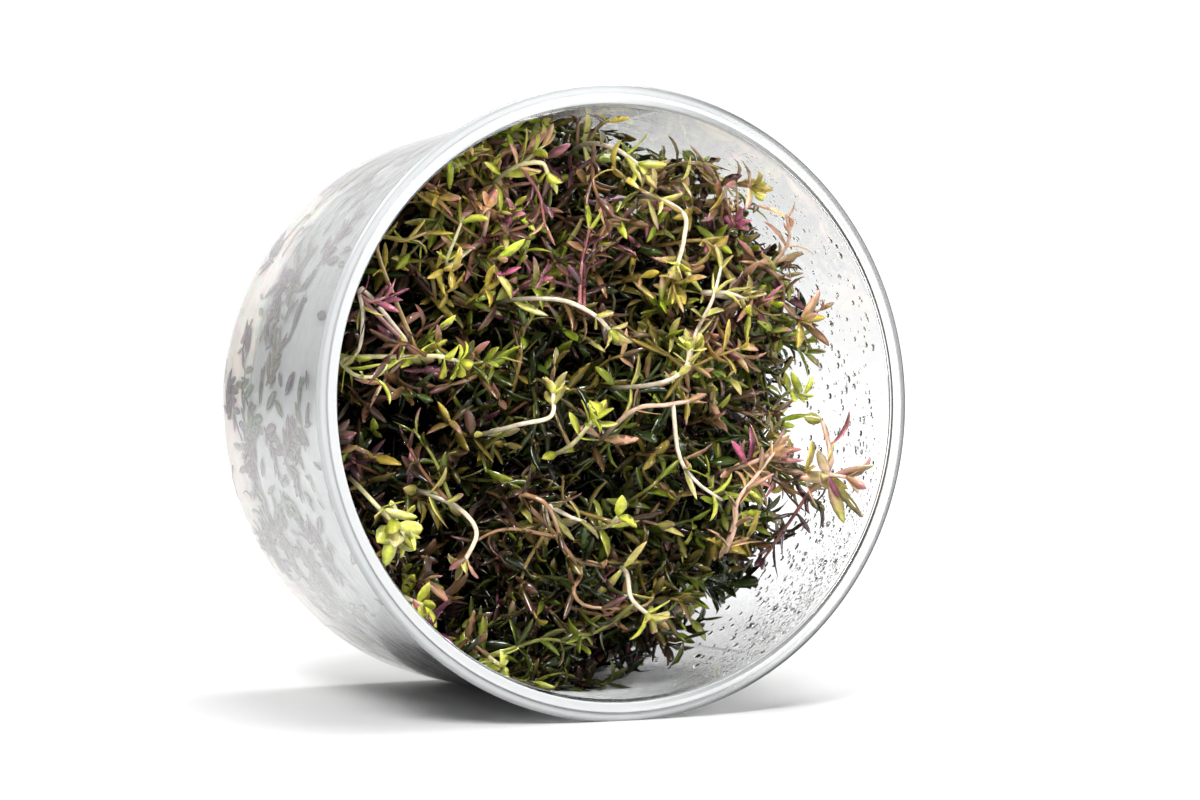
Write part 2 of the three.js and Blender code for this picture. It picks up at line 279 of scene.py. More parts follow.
def clear_plastic():
    """Clear, with a frosted flange on the left. Painted shade greys it along its edge and along the step of
    the rim and adds dark dots for fine drops, and a painted highlight lightens its frosted front face.
    """
    shade = Shade("clear plastic")
    shade.set(IOR=1.49)
    x, _, height, radius = shade.in_the_cup()
    flange = shade.span(height, FLANGE_FOOT - 0.4, FLANGE_FOOT + 0.2, 0, 1)
    left = shade.span(x, 0, 38, 0.55, 0.03)
    edge_starts = shade.span(radius, RIM_RADIUS - 0.8, RIM_RADIUS - 0.4, 0, 0.88)
    edge = shade.times(edge_starts, shade.span(x, 0, 20, 0.3, 1))
    frost = shade.times(flange, shade.math("MAXIMUM", left, edge))
    shade.to("Transmission Weight", shade.math("SUBTRACT", 1.0, frost))
    tint = shade.ramp(frost, (0, (0.99, 0.994, 0.997)), (0.35, (0.575, 0.59, 0.595)))
    # Painted highlight: the frosted front face of the rim made lighter
    lip_starts = shade.span(height, CUP_DEPTH - 0.3, CUP_DEPTH - 0.1, 0, 0.16)
    lip = shade.times(lip_starts, shade.span(frost, 0, 0.4, 0, 1))
    step_starts = shade.span(radius, RIM_STEP_RADIUS - 0.2, RIM_STEP_RADIUS - 0.1, 0, 0.35)
    step = shade.times(step_starts, shade.span(radius, RIM_STEP_RADIUS, RIM_STEP_RADIUS + 0.2, 1, 0))
    # Painted shade: grey lines along the flange's outer edge and along the step of the rim, and the dark drop
    # dots
    lines = shade.times(shade.math("MAXIMUM", edge, step), flange)
    dark = shade.math("MAXIMUM", lines, shade.times(painted_drop_shade(shade), 0.95))
    lighter = shade.vector("ADD", tint, lip)
    shade.to("Base Color", shade.vector("MULTIPLY", lighter, shade.math("SUBTRACT", 1.0, dark)))
    scuffs = shade.span(shade.noise(70, 5), 0.4, 0.7, 0.01, 0.07)
    shade.to("Roughness", shade.math("MAXIMUM", scuffs, shade.span(frost, 0, 0.5, 0, 0.25)))
    shade.bump(shade.noise(160, 2), 0.09, 0.0005)
    return shade.material


def condensation():
    """Fine mist inside the left of the wall, patchy and thinner towards the mouth and on the right, with
    painted shade that greys it towards the top.
    """
    shade = Shade("condensation")
    x, y, height, _ = shade.in_the_cup()
    left = shade.span(shade.math("ADD", x, shade.span(y, 0, 50, 0, 17.5)), 16, -14, 0, 1)
    mouthward = shade.span(height, 50, 58.8, 1, 0.55)
    mist = shade.times(left, mouthward, shade.span(shade.noise(60, 5), 0.3, 0.7, 0.85, 1))
    milk = shade.ramp(shade.noise(110, 4), (0.3, (0.74, 0.765, 0.765)), (0.7, (0.91, 0.92, 0.92)))
    # Painted shade: the milk greyer towards the top of the lying cup, where more light falls
    milk_with_painted_shade = shade.vector("MULTIPLY", milk, shade.span(y, -10, 30, 1, 0.58))
    shade.to("Base Color", shade.vector("MAXIMUM", milk_with_painted_shade, shade.span(mist, 0, 0.3, 1, 0)))
    shade.set(IOR=1.03)
    shade.to("Transmission Weight", shade.span(mist, 0, 1, 1, 0.12))
    shade.to("Roughness", shade.span(mist, 0, 1, 0, 0.6))
    return shade.material


def foliage(name, translucent):
    """Wet leaves and stems in the colours that their points carry."""
    shade = Shade(name)
    tint = shade.node("VertexColor", layer_name="tint")["Color"]
    mottle = shade.span(shade.noise(900, 4), 0.3, 0.7, 0.72, 1.28)
    shade.to("Base Color", shade.vector("MULTIPLY", tint, mottle))
    shade.to("Roughness", shade.span(shade.noise(500, 2), 0.3, 0.7, 0.24, 0.5))
    shade.set(IOR=1.42, Specular_IOR_Level=0.12, Subsurface_Weight=translucent, Subsurface_Scale=0.0006)
    shade.set(Subsurface_Radius=(1.0, 1.0, 0.4))
    shade.set(Coat_Weight=0.85, Coat_Roughness=0.07, Coat_IOR=1.5)
    shade.bump(shade.noise(1500, 3), 0.3, 0.0001)
    return shade.material


def cloudy_gel():
    """Cream culture gel, with painted shade that makes its top face nearly black under the growth, except
    next to the wall.
    """
    shade = Shade("cloudy gel")
    cloud = shade.noise(150, 5)
    tint = shade.ramp(cloud, (0.3, (0.90, 0.79, 0.70)), (0.62, (0.96, 0.87, 0.79)))
    _, _, height, radius = shade.in_the_cup()
    # Painted shade: the top face nearly black where the growth stands over it
    below = shade.span(height, GEL_TOP - 0.4, GEL_TOP, 1, 0.03)
    at_the_wall = shade.span(radius, INNER_FOOT_RADIUS - 1.5, INNER_FOOT_RADIUS - 0.5, 0, 0.8)
    shade.to("Base Color", shade.vector("MULTIPLY", tint, shade.math("MAXIMUM", below, at_the_wall)))
    shade.to("Roughness", shade.span(cloud, 0.3, 0.7, 0.15, 0.4))
    shade.set(Subsurface_Weight=0.5, Subsurface_Scale=0.004, IOR=1.34)
    shade.bump(shade.noise(200, 3), 0.4, 0.0006)
    return shade.material


def water():
    shade = Shade("water drops")
    shade.set(Base_Color=(1, 1, 1, 1), IOR=1.33, Transmission_Weight=1.0)
    shade.to("Roughness", shade.span(shade.noise(400, 1), 0.3, 0.7, 0, 0.05))
    return shade.material


# Mesh helpers. Every piece is made in the upright cup's millimetres and then laid down.
def laid_down(points):
    turn = np.array(LYING.to_3x3())
    return np.asarray(points) @ turn.T / 1000 + np.array(LYING.translation)


def piece(name, points, faces, material, colours=None, second=None, in_second=None):
    mesh = bpy.data.meshes.new(name)
    mesh.from_pydata(laid_down(points).tolist(), [], faces)
    if colours is not None:
        layer = mesh.color_attributes.new("tint", "FLOAT_COLOR", "POINT")
        layer.data.foreach_set("color", np.asarray(colours, dtype=np.float32).ravel())
    mesh.polygons.foreach_set("use_smooth", [True] * len(mesh.polygons))
    mesh.materials.append(material)
    if second is not None:
        mesh.materials.append(second)
        mesh.polygons.foreach_set("material_index", in_second)
    mesh.update()
    made = bpy.data.objects.new(name, mesh)
    bpy.context.scene.collection.objects.link(made)
    bpy.context.view_layer.update()
    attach(made, "root")
    return made


def turned(profile, sides):
    """A closed profile of [radius, height] pairs turned about the cup's axis."""
    points = []
    rings = []
    for radius, height in profile:
        if radius < 1e-6:
            rings.append([len(points)] * sides)
            points.append((0, 0, height))
            continue
        rings.append(list(range(len(points), len(points) + sides)))
        for side in range(sides):
            angle = 2 * math.pi * side / sides
            points.append((radius * math.cos(angle), radius * math.sin(angle), height))
    faces = []
    for low, high in zip(rings, rings[1:]):
        for side in range(sides):
            beside = (side + 1) % sides
            corners = [low[side], low[beside], high[beside], high[side]]
            kept = [c for index, c in enumerate(corners) if c not in corners[:index]]
            if len(kept) > 2:
                faces.append(kept)
    return np.array(points), faces


def on_the_floor(points):
    """Flattens what would dip below the floor, as the soft plastic does where it lies."""
    height = LYING.translation.z * 1000
    normal = np.array([LYING.col[0][2], LYING.col[1][2], LYING.col[2][2]])
    below = np.minimum(points @ normal + height, 0)
    return points - below[:, None] * normal


def arc(centre, radius, start, end, steps):
    angles = [math.radians(start + (end - start) * step / steps) for step in range(steps + 1)]
    return [(centre[0] + radius * math.cos(a), centre[1] + radius * math.sin(a)) for a in angles]


def cup_profile():
    """The section of the cup from the middle of its underside out, over the rim and back inside."""
    corner = (BASE_RADIUS - CORNER_RADIUS, CORNER_RADIUS)
    flange_top = CUP_DEPTH - RIM_STEP
    outside = [(0, 0), *arc(corner, CORNER_RADIUS, -90, 0, 12)]
    outside += [(between((BASE_RADIUS, NECK_RADIUS), h / FLANGE_FOOT), h) for h in WALL_RINGS]
    outside += arc((NECK_RADIUS + FLANGE_FILLET, FLANGE_FOOT - FLANGE_FILLET), FLANGE_FILLET, 180, 90, 4)
    lip = (flange_top - FLANGE_FOOT) / 2
    outside += [(NECK_RADIUS + 0.5, FLANGE_FOOT), (RIM_RADIUS - lip - EDGE_LOOP, FLANGE_FOOT)]
    outside += arc((RIM_RADIUS - lip, FLANGE_FOOT + lip), lip, -90, 90, 14)
    outside += [(RIM_RADIUS - lip - EDGE_LOOP, flange_top), (RIM_STEP_RADIUS + 0.25, flange_top)]
    outside += arc((RIM_STEP_RADIUS + STEP_FILLET, flange_top + STEP_FILLET), STEP_FILLET, -90, -180, 2)
    outside += arc((RIM_STEP_RADIUS - STEP_ROUND, CUP_DEPTH - STEP_ROUND), STEP_ROUND, 0, 90, 3)
    inside = [(0, WALL), *arc(corner, CORNER_RADIUS - WALL, -90, 0, 10)]
    inside += [(inner_radius(h), h) for h in (*WALL_RINGS, CUP_DEPTH - 0.9, CUP_DEPTH - 0.35)]
    inside += arc((MOUTH_RADIUS + MOUTH_ROUND, CUP_DEPTH - MOUTH_ROUND), MOUTH_ROUND, 180, 90, 3)
    front = [(RIM_STEP_RADIUS - 0.3, CUP_DEPTH), (MOUTH_RADIUS + 0.35, CUP_DEPTH)]
    return outside + front + inside[::-1]


def inner_radius(height):
    """The inside of the wall, with the round corner at the base."""
    rise = np.clip(height - CORNER_RADIUS, 0, CUP_DEPTH - CORNER_RADIUS)
    round_corner = CORNER_RADIUS - WALL
    below = np.clip(CORNER_RADIUS - height, 0, round_corner)
    return INNER_FOOT_RADIUS + WALL_TAPER * rise - round_corner + np.sqrt(round_corner**2 - below**2)


# Sprigs that show one by one, as [name, colour, leafy share of the stem, length of a tip leaf, tip leaves,
# points from the root up to the tip], each point as [x, y, height] in the upright cup
SPRIGS = [
    ("pale_sprig_top", "pale", 0.55, 4.8, 3,
     [(0, 32), (-0.5, 36, 36), (0.6, 39.4, 47), (3, 38.4, 53.4), (7.4, 36, 52.6)]),
    ("drooping_sprig_top", "pale", 0.5, 2.8, 2,
     [(8, 26), (8.2, 30, 40), (9.4, 31.4, 50), (13.4, 28.6, 55), (13.3, 24.5, 55.4), (12.3, 20.6, 55)]),
    ("yellow_tip_top", "yellow", 0.55, 3, 2,
     [(-11, 26), (-13, 29, 38), (-15.4, 32.6, 48), (-13.4, 35.4, 54), (-9.8, 36, 55.6), (-8.4, 34.4, 55)]),
    ("pink_sprig_top", "pink", 0.6, 3.6, 4,
     [(-18, 22), (-17, 23, 38), (-16.4, 24.6, 47), (-17.3, 29.6, 53.6)]),
    ("long_white_stem", "pale", 0.45, 3.6, 4,
     [(-17, 13), (-15, 14.5, 38), (-12.6, 15.8, 49), (-6.6, 15.6, 54.2), (-1.8, 13.4, 55.4),
      (1.2, 11, 54.6)]),
    ("round_leaf_pair", "yellow", 0.55, 3.4, 3,
     [(-30, 6), (-29, 6.6, 38), (-28.6, 7.4, 50), (-26, 7.4, 54.4), (-23, 6.6, 54.6)]),
    ("white_arch", "pale", 0.45, 3.8, 4,
     [(-20, -4), (-18.6, -4.6, 38), (-17.4, -4.2, 49), (-13.6, -2.9, 54.4), (-9, -1.8, 55.4),
      (-8.2, 1.6, 54.8)]),
    ("bright_fork", "yellow", 0.6, 4, 4,
     [(-6, -10), (-5, -8.6, 38), (-3.6, -6.4, 49), (-1.6, -2.6, 53.8)]),
    ("pink_arch", "pink", 0.45, 3.6, 3,
     [(4, -8), (2.6, -7.4, 38), (1.4, -5.4, 49.4), (5, -1, 54.4), (10.4, -0.4, 54), (15.2, 0.2, 52.6)]),
    ("white_riser", "pale", 0.5, 3.2, 4,
     [(3, 5), (3.4, 3.4, 38), (4.4, 2.4, 50), (9.4, 3, 55), (12.8, 5, 55.8), (13.8, 8, 55.6)]),
    ("yellow_cluster", "yellow", 0.4, 4.6, 5,
     [(-36, -7), (-37.4, -8.6, 38), (-38, -10.8, 49), (-36.2, -14.4, 54.2), (-33.4, -17.6, 54.8)]),
    ("pink_hook", "pale", 0.5, 3.4, 3,
     [(-29.5, -9.5), (-29.6, -10.6, 38), (-28.6, -12.2, 49.6), (-24, -14.8, 54.6), (-21.4, -18.6, 56),
      (-23, -23, 55)]),
    ("yellow_blade_low", "yellow", 0.7, 4.4, 2,
     [(1, -20), (1.6, -19.4, 38), (2.2, -18.6, 49), (2.4, -17, 53.6)]),
    ("white_sprig_low", "pale", 0.5, 3.8, 4,
     [(8, -26), (6.4, -25, 38), (4.8, -25.4, 50), (3.8, -29.4, 54.6), (6.6, -32.2, 55)]),
    ("round_leaf_right", "yellow", 0.8, 3, 2, [(27, -20), (27, -19, 32), (27.4, -17.4, 45.4)]),
    ("rim_sprig_left", "yellow", 0.7, 3.6, 2,
     [(-27, -23), (-28.6, -25, 36), (-30, -28, 48), (-29.4, -29.2, 54.4)]),
    ("rim_sprig_low", "yellow", 0.7, 3, 2,
     [(-15, -31), (-16, -34, 36), (-17, -37.4, 48), (-17.3, -38.8, 55)]),
    ("magenta_whorl", "magenta", 0.85, 3, 5, [(25, 25), (25.6, 26, 34), (26.4, 27.4, 46)]),
    ("reaching_sprig_right", "pink", 0.5, 5, 4,
     [(32, -7), (32, -9, 36), (32.6, -10.8, 48), (36, -11.4, 55), (38.6, -12, 57.6)]),
    ("sprig_top_right", "olive", 0.8, 4, 4,
     [(19, 31), (20, 32.6, 34), (22.6, 33.6, 46), (26, 32.8, 53)]),
    ("pale_sprig_right", "pale", 0.75, 4, 4, [(28, 14), (28, 15, 34), (27.6, 16.4, 45.6)]),
    ("sprig_right", "olive", 0.85, 4.4, 4, [(35.5, 8), (36, 10, 34), (37.4, 12.4, 46)]),
    ("pink_sprig_right", "pink", 0.7, 4.4, 4,
     [(21.5, -12), (22.6, -11.6, 36), (26, -10, 47), (29, -8.4, 50.6)]),
    ("olive_sprig_low", "olive", 0.7, 4, 4,
     [(-10, -17), (-8.6, -17, 38), (-7.6, -18, 49), (-6, -22.6, 53.6)]),
]

# Packed plantlets
PACKED_COLOURS = ["green", "bronze", "olive", "bronze"]
PACKED_SEED = 7
PACKED_HEIGHT = (20, 29)
PACKED_LEAN = 4
PACKED_BOW = 2.4
WORD = 0xFFFFFFFF


def draws_from(seed):
    """Repeatable draws between 0 and 1, the same as in the part's source."""
    state = seed & WORD

    def draw():
        nonlocal state
        state = (state + 0x6D2B79F5) & WORD
        mixed = ((state ^ (state >> 15)) * (1 | state)) & WORD
        mixed = ((mixed + (((mixed ^ (mixed >> 7)) * (61 | mixed)) & WORD)) & WORD) ^ mixed
        return ((mixed ^ (mixed >> 14)) & WORD) / 4294967296

    return draw


def named_plantlets():
    keys = ("name", "colour", "leafy", "tip", "tip_leaves", "path")
    return [dict(zip(keys, sprig)) for sprig in SPRIGS]


def packed_plantlets():
    """Spots on a sunflower spiral, with those next to a named sprig's root left free."""
    roots = [sprig[5][0] for sprig in SPRIGS]
    plantlets = []
    for spot in range(PLANTING_SPOTS):
        draw = draws_from(PACKED_SEED + spot * 101)
        radius = PLANTING_RADIUS * math.sqrt((spot + 0.5) / PLANTING_SPOTS)
        x = radius * math.cos(spot * TURN)
        y = radius * math.sin(spot * TURN)
        if any(math.hypot(root[0] - x, root[1] - y) < SPOT_CLEARANCE for root in roots):
            continue
        heading = draw() * math.pi * 2
        bow = PACKED_BOW * (draw() * 2 - 1)
        lean = PACKED_LEAN * draw()
        height = between(PACKED_HEIGHT, draw())
        path = []
        for share in (0, 0.35, 0.7, 1):
            aside = bow * math.sin(math.pi * share)
            path.append((
                x + math.cos(heading) * lean * share - math.sin(heading) * aside,
                y + math.sin(heading) * lean * share + math.cos(heading) * aside,
                STEM_FOOT + height * share,
            ))
        count = len(plantlets)
        plantlets.append({
            "name": f"plantlet_{count + 1:02d}", "colour": PACKED_COLOURS[count % len(PACKED_COLOURS)],
            "leafy": 0.92, "tip": 3.8, "tip_leaves": 2, "path": path,
        })
    return plantlets


class Curve:
    """The smooth line through a path's points, the same as in the part's source."""

    def __init__(self, path):
        points = [np.array([p[0], p[1], p[2] if len(p) > 2 else STEM_FOOT], float) for p in path]
        self.points = [2 * points[0] - points[1], *points, 2 * points[-1] - points[-2]]
        self.spans = len(points) - 1
        line = np.array([self.at(step / 200) for step in range(201)])
        self.length = float(np.linalg.norm(np.diff(line, axis=0), axis=1).sum())

    def at(self, share):
        place = clamped(share) * self.spans
        span = min(int(place), self.spans - 1)
        w = place - span
        a, b, c, d = self.points[span:span + 4]
        start = 0.5 * (c - a)
        end = 0.5 * (d - b)
        return (2 * b - 2 * c + start + end) * w**3 + (3 * c - 3 * b - 2 * start - end) * w**2 + start * w + b

    def tangent(self, share):
        return unit(self.at(min(share + 1e-4, 1)) - self.at(max(share - 1e-4, 0)))


def turned_about(vector, axis, angle):
    cosine = math.cos(angle)
    return vector * cosine + np.cross(axis, vector) * math.sin(angle) + axis * (axis @ vector) * (1 - cosine)


def leaf_at(curve, share, turn, pitch_degrees, length):
    """The leaf that leaves the stem at a share of its length, turned about it and pitched away from it."""
    pitch = math.radians(pitch_degrees)
    tangent = curve.tangent(share)
    side = np.cross((0, 0, 1), tangent)
    if side @ side < 0.01:
        side = np.array([1.0, 0, 0])
    side = turned_about(unit(side), tangent, turn)
    along = tangent * math.cos(pitch) + side * math.sin(pitch)
    face = tangent * math.sin(pitch) - side * math.cos(pitch)
    return {"foot": curve.at(share), "along": along, "face": face, "length": length, "share": share}


def leaves_of(plantlet, curve):
    """Opposite pairs, each turned a quarter from the last, and a few leaves at the tip."""
    draw = draws_from(plantlet["seed"])
    extra = random.Random(plantlet["seed"])
    leaves = []
    leafy = plantlet["leafy"]
    pairs = int(curve.length * leafy // LEAF_SPACING)
    turn = draw() * math.pi
    for pair in range(pairs):
        turn += math.pi / 2 + (draw() - 0.5) * PAIR_JITTER
        for half in (0, math.pi):
            pitch = between(LEAF_PITCH, draw())
            length = LEAF_LENGTH * between(LENGTH_SPREAD, draw())
            leaves.append(leaf_at(curve, leafy * (pair + 0.8) / pairs, turn + half, pitch, length))
        for step in (1, 2):
            share = leafy * (pair + 0.8 - step * 0.33) / pairs
            around = turn - step * math.pi / 2 + extra.uniform(-0.3, 0.3)
            for half in (0, math.pi):
                length = LEAF_LENGTH * extra.uniform(0.7, 1.1)
                leaves.append(leaf_at(curve, share, around + half, extra.uniform(45, 80), length))
    for leaf in range(plantlet["tip_leaves"]):
        pitch = between(TIP_PITCH, draw())
        length = plantlet["tip"] * between(LENGTH_SPREAD, draw())
        around = turn + (leaf + 0.5) * math.pi * 2 / plantlet["tip_leaves"]
        tip = leaf_at(curve, TIP_AT, around, pitch, length)
        tip["tip"] = True
        leaves.append(tip)
    return leaves


plantlets = named_plantlets() + packed_plantlets()
for index, plantlet in enumerate(plantlets):
    plantlet["seed"] = 1000 + index * 29
    plantlet["curve"] = Curve(plantlet["path"])

# Leaf shape: half widths along the leaf, as shares of its half width, and its section, as shares of them
STATIONS = (0.0, 0.15, 0.4, 0.68, 0.9, 1.0)
HALF_WIDTHS = (0.22, 0.56, 1.0, 0.92, 0.5, 0.08)
SECTION = (1, 0, -1, 0)
SECTION_THICKNESS = (0, 0.5, 0, -1)
SECTION_TONES = ((1, 0), (1.3, 0.002), (1, 0), (0.8, 0.002))
FOOT_THICKNESS = 0.16
LEAST_CURL = 0.02
FACES_OF_A_LEAF = (len(STATIONS) - 1) * len(SECTION) + 2


def skinned(first, rings, sides):
    """Quads between the rings of points that start at an index, and a face at each end."""
    faces = []
    last = first + (rings - 1) * sides
    for low in range(first, last, sides):
        for step in range(sides):
            beside = (step + 1) % sides
            faces.append((low + step, low + beside, low + sides + beside, low + sides + step))
    faces.append(tuple(first + step for step in reversed(range(sides))))
    faces.append(tuple(last + step for step in range(sides)))
    return faces


def leaf_mesh(leaves):
    """Closed, folded and curled leaf blades, as points, faces and colours."""

    def of_all(name):
        return np.array([leaf[name] for leaf in leaves], float)

    foot, along, face, start, end = map(of_all, ("foot", "along", "face", "colour", "tip_colour"))
    length, width, twist, curl, fold = map(of_all, ("length", "width", "twist", "curl", "fold"))
    along = unit(along)
    face = unit(face - along * (face * along).sum(1)[:, None])
    across = np.cross(face, along)
    curl[np.abs(curl) < LEAST_CURL] = LEAST_CURL
    shape = (len(leaves), len(STATIONS), len(SECTION))
    points = np.zeros((*shape, 3))
    colours = np.ones((*shape, 4))
    for station, (t, half_width) in enumerate(zip(STATIONS, HALF_WIDTHS)):
        ahead = length * np.sin(curl * t) / curl
        rise = length * (1 - np.cos(curl * t)) / curl
        middle = foot + along * ahead[:, None] + face * rise[:, None]
        upward = face * np.cos(curl * t)[:, None] - along * np.sin(curl * t)[:, None]
        turn = (twist * t)[:, None]
        side = across * np.cos(turn) + upward * np.sin(turn)
        above = upward * np.cos(turn) - across * np.sin(turn)
        half = width / 2 * half_width
        shade = start + (end - start) * t**1.6
        for slot, (s, thickness, (gain, lift)) in enumerate(zip(SECTION, SECTION_THICKNESS, SECTION_TONES)):
            reach = side * (half * s * np.cos(fold))[:, None]
            folded = above * (half * abs(s) * np.sin(fold))[:, None]
            body = above * FOOT_THICKNESS * (1 - 0.75 * t) * thickness
            points[:, station, slot] = middle + reach + folded + body
            colours[:, station, slot, :3] = shade * gain + lift
    faces = []
    for leaf in range(len(leaves)):
        faces += skinned(leaf * len(STATIONS) * len(SECTION), len(STATIONS), len(SECTION))
    return points.reshape(-1, 3), faces, colours.reshape(-1, 4)


def tube_mesh(line, radii, colours, sides=8):
    """A closed tube along a line of points."""
    line = np.asarray(line, float)
    tangents = unit(np.gradient(line, axis=0))
    side = unit(np.cross(tangents[0], (0.3, 0.9, 0.1)))
    points = []
    tints = []
    for place, tangent, radius, colour in zip(line, tangents, radii, colours):
        side = unit(side - tangent * (side @ tangent))
        other = np.cross(tangent, side)
        for step in range(sides):
            angle = 2 * math.pi * step / sides
            points.append(place + (side * math.cos(angle) + other * math.sin(angle)) * radius)
            tints.append((*colour, 1))
    return np.array(points), skinned(0, len(line), sides), np.array(tints)


def joined(parts):
    points = []
    faces = []
    colours = []
    count = 0
    for part_points, part_faces, part_colours in parts:
        points.append(part_points)
        faces.extend(tuple(corner + count for corner in part_face) for part_face in part_faces)
        colours.append(part_colours)
        count += len(part_points)
    return np.vstack(points), faces, np.vstack(colours)


# Colours in linear light: leaf low on its shoot, leaf high on it, leaf tip, stem
STYLES = {
    # The deep style is dark green made near black, as painted shade for the depths of the growth
    "deep": ((0.005, 0.009, 0.001), (0.016, 0.027, 0.003), (0.03, 0.042, 0.005), (0.03, 0.035, 0.008)),
    "green": ((0.014, 0.024, 0.002), (0.075, 0.100, 0.006), (0.16, 0.17, 0.012), (0.15, 0.15, 0.03)),
    "olive": ((0.014, 0.014, 0.003), (0.110, 0.085, 0.012), (0.24, 0.16, 0.022), (0.26, 0.17, 0.05)),
    "bronze": ((0.016, 0.010, 0.003), (0.090, 0.052, 0.018), (0.22, 0.10, 0.045), (0.27, 0.15, 0.08)),
    "umber": ((0.010, 0.006, 0.003), (0.040, 0.020, 0.012), (0.09, 0.035, 0.022), (0.16, 0.07, 0.03)),
    "purple": ((0.010, 0.006, 0.005), (0.046, 0.018, 0.023), (0.17, 0.045, 0.070), (0.24, 0.08, 0.08)),
    "magenta": ((0.03, 0.02, 0.01), (0.14, 0.032, 0.058), (0.24, 0.04, 0.105), (0.36, 0.16, 0.15)),
    "pink": ((0.05, 0.035, 0.015), (0.33, 0.20, 0.09), (0.44, 0.12, 0.17), (0.52, 0.34, 0.25)),
    "pale": ((0.03, 0.04, 0.006), (0.44, 0.42, 0.09), (0.56, 0.38, 0.16), (0.62, 0.53, 0.40)),
    "yellow": ((0.04, 0.06, 0.006), (0.40, 0.44, 0.04), (0.58, 0.54, 0.08), (0.55, 0.50, 0.27)),
}

# Heights that no light and all light reach
DEPTHS = 33.0
CANOPY = 48.0


def light_at(height):
    return (height - DEPTHS) / (CANOPY - DEPTHS)


def bump_near(x, y, place, width):
    return math.exp(-((x - place[0])**2 + (y - place[1])**2) / (2 * width**2))


def style_for(place, chance):
    """Deep green low down and in the middle, near black there as painted shade and less so by the clear right
    side of the wall, fresh green at the top left, bronze and purple high up.
    """
    x, y, height = place
    middle = bump_near(x, y, (2, -2), 15)
    top_left = bump_near(x, y, (-16, 30), 13)
    top_right = bump_near(x, y, (22, 22), 16)
    left = bump_near(x, y, (-34, 0), 14)
    beside = open_side(x, y)
    low = clamped((42 - height) / 14) * (1 - 0.8 * beside)
    high = clamped((height - 43) / 7)
    weights = {
        "deep": 1.3 + 3.0 * low + 2.4 * middle - 2.5 * top_left - 0.6 * high,
        "green": 1.5 + 4.0 * top_left * (1 - high) + 0.9 * middle + 1.5 * beside,
        "olive": 0.9 + 0.9 * top_left + 0.4 * top_right + 0.8 * beside,
        "bronze": 0.7 + 0.9 * top_right - 0.4 * middle,
        "umber": 0.6 + 0.5 * top_right + 1.1 * high,
        "purple": 0.35 + 0.4 * top_right + 0.6 * left + 0.8 * high - 0.6 * top_left,
        "magenta": 0.03 + 0.08 * high,
        "pink": 0.10 + 0.5 * top_right + 0.15 * high,
        "yellow": 0.12 + 0.3 * top_left + 0.12 * top_right,
    }
    names = list(weights)
    return chance.choices(names, [max(weights[name], 0.02) for name in names])[0]


def open_side(x, y):
    """Nearness to the clear right side of the wall, where light reaches the growth at every height."""
    return clamped((math.hypot(x, y) - 24) / 12) * clamped((x + 4) / 16)


# Styles with tips that are often purple, styles that let the most light through, and the brightest tip
TIPPED = ("olive", "bronze", "pink", "pale", "green")
GREENS = ("deep", "green", "olive", "yellow")
BRIGHTEST = 0.56

# The brightness from which on light passes through a leaf
YOUNG_FROM = 0.11

# Painted light where light comes in through the wall, and painted shade where the gain is below nought, as
# [x, y, width, gain]
PAINTED_LIGHT_AND_SHADE = [
    (-18, 28, 14, 3.8), (25, 17, 15, 4.6), (34, -8, 11, 1.6), (24, -26, 10, 1.2), (-36, 0, 9, 0.8),
    (0, -3, 14, -0.75), (-8, -27, 12, 0.25),
]


def leaf_colours(style, point, share, chance):
    """Darker at the foot of a shoot and brighter towards its tip, with painted shade deep down and painted
    light towards the canopy, by the clear right side of the wall and where light comes in through it.
    """
    low_leaf, high_leaf, tip, _ = (np.array(c) for c in STYLES[style])
    lit = clamped(light_at(point[2]), 0.6 * open_side(*point[:2]))
    grown = clamped(0.04 + 0.22 * lit + 0.78 * lit**2 * share)
    shade = low_leaf + (high_leaf - low_leaf) * grown
    if style in TIPPED and chance.random() < 0.35:
        tip = np.array(STYLES["purple"][2])
    end = shade + (tip - shade) * grown * chance.uniform(0.4, 1.1)
    light = sum(gain * bump_near(point[0], point[1], (x, y), width) for x, y, width, gain in PAINTED_LIGHT_AND_SHADE)
    light = 1.0 + light * (1.0 if style in GREENS else 0.5)
    # Painted light and shade: brightness set by depth and by where light comes in
    bright = chance.uniform(0.4, 1.5) * (0.35 + 0.65 * lit) * light
    bright = min(bright, BRIGHTEST / max(end.max(), 0.01))
    return shade * bright, end * bright


def dressed(leaf, style, share, chance, scale=1.0):
    """Gives a bare leaf its width, curl, fold, twist and colours."""
    leaf["width"] = LEAF_WIDTH * chance.triangular(0.55, 1.4, 0.85) * scale
    leaf["curl"] = chance.uniform(-1.5, 0.9)
    leaf["fold"] = chance.uniform(0.1, 0.9)
    leaf["twist"] = chance.uniform(-1.0, 1.0)
    leaf["colour"], leaf["tip_colour"] = leaf_colours(style, leaf["foot"], share, chance)
    leaf["young"] = bool(leaf["colour"].max() > YOUNG_FROM)
    return leaf


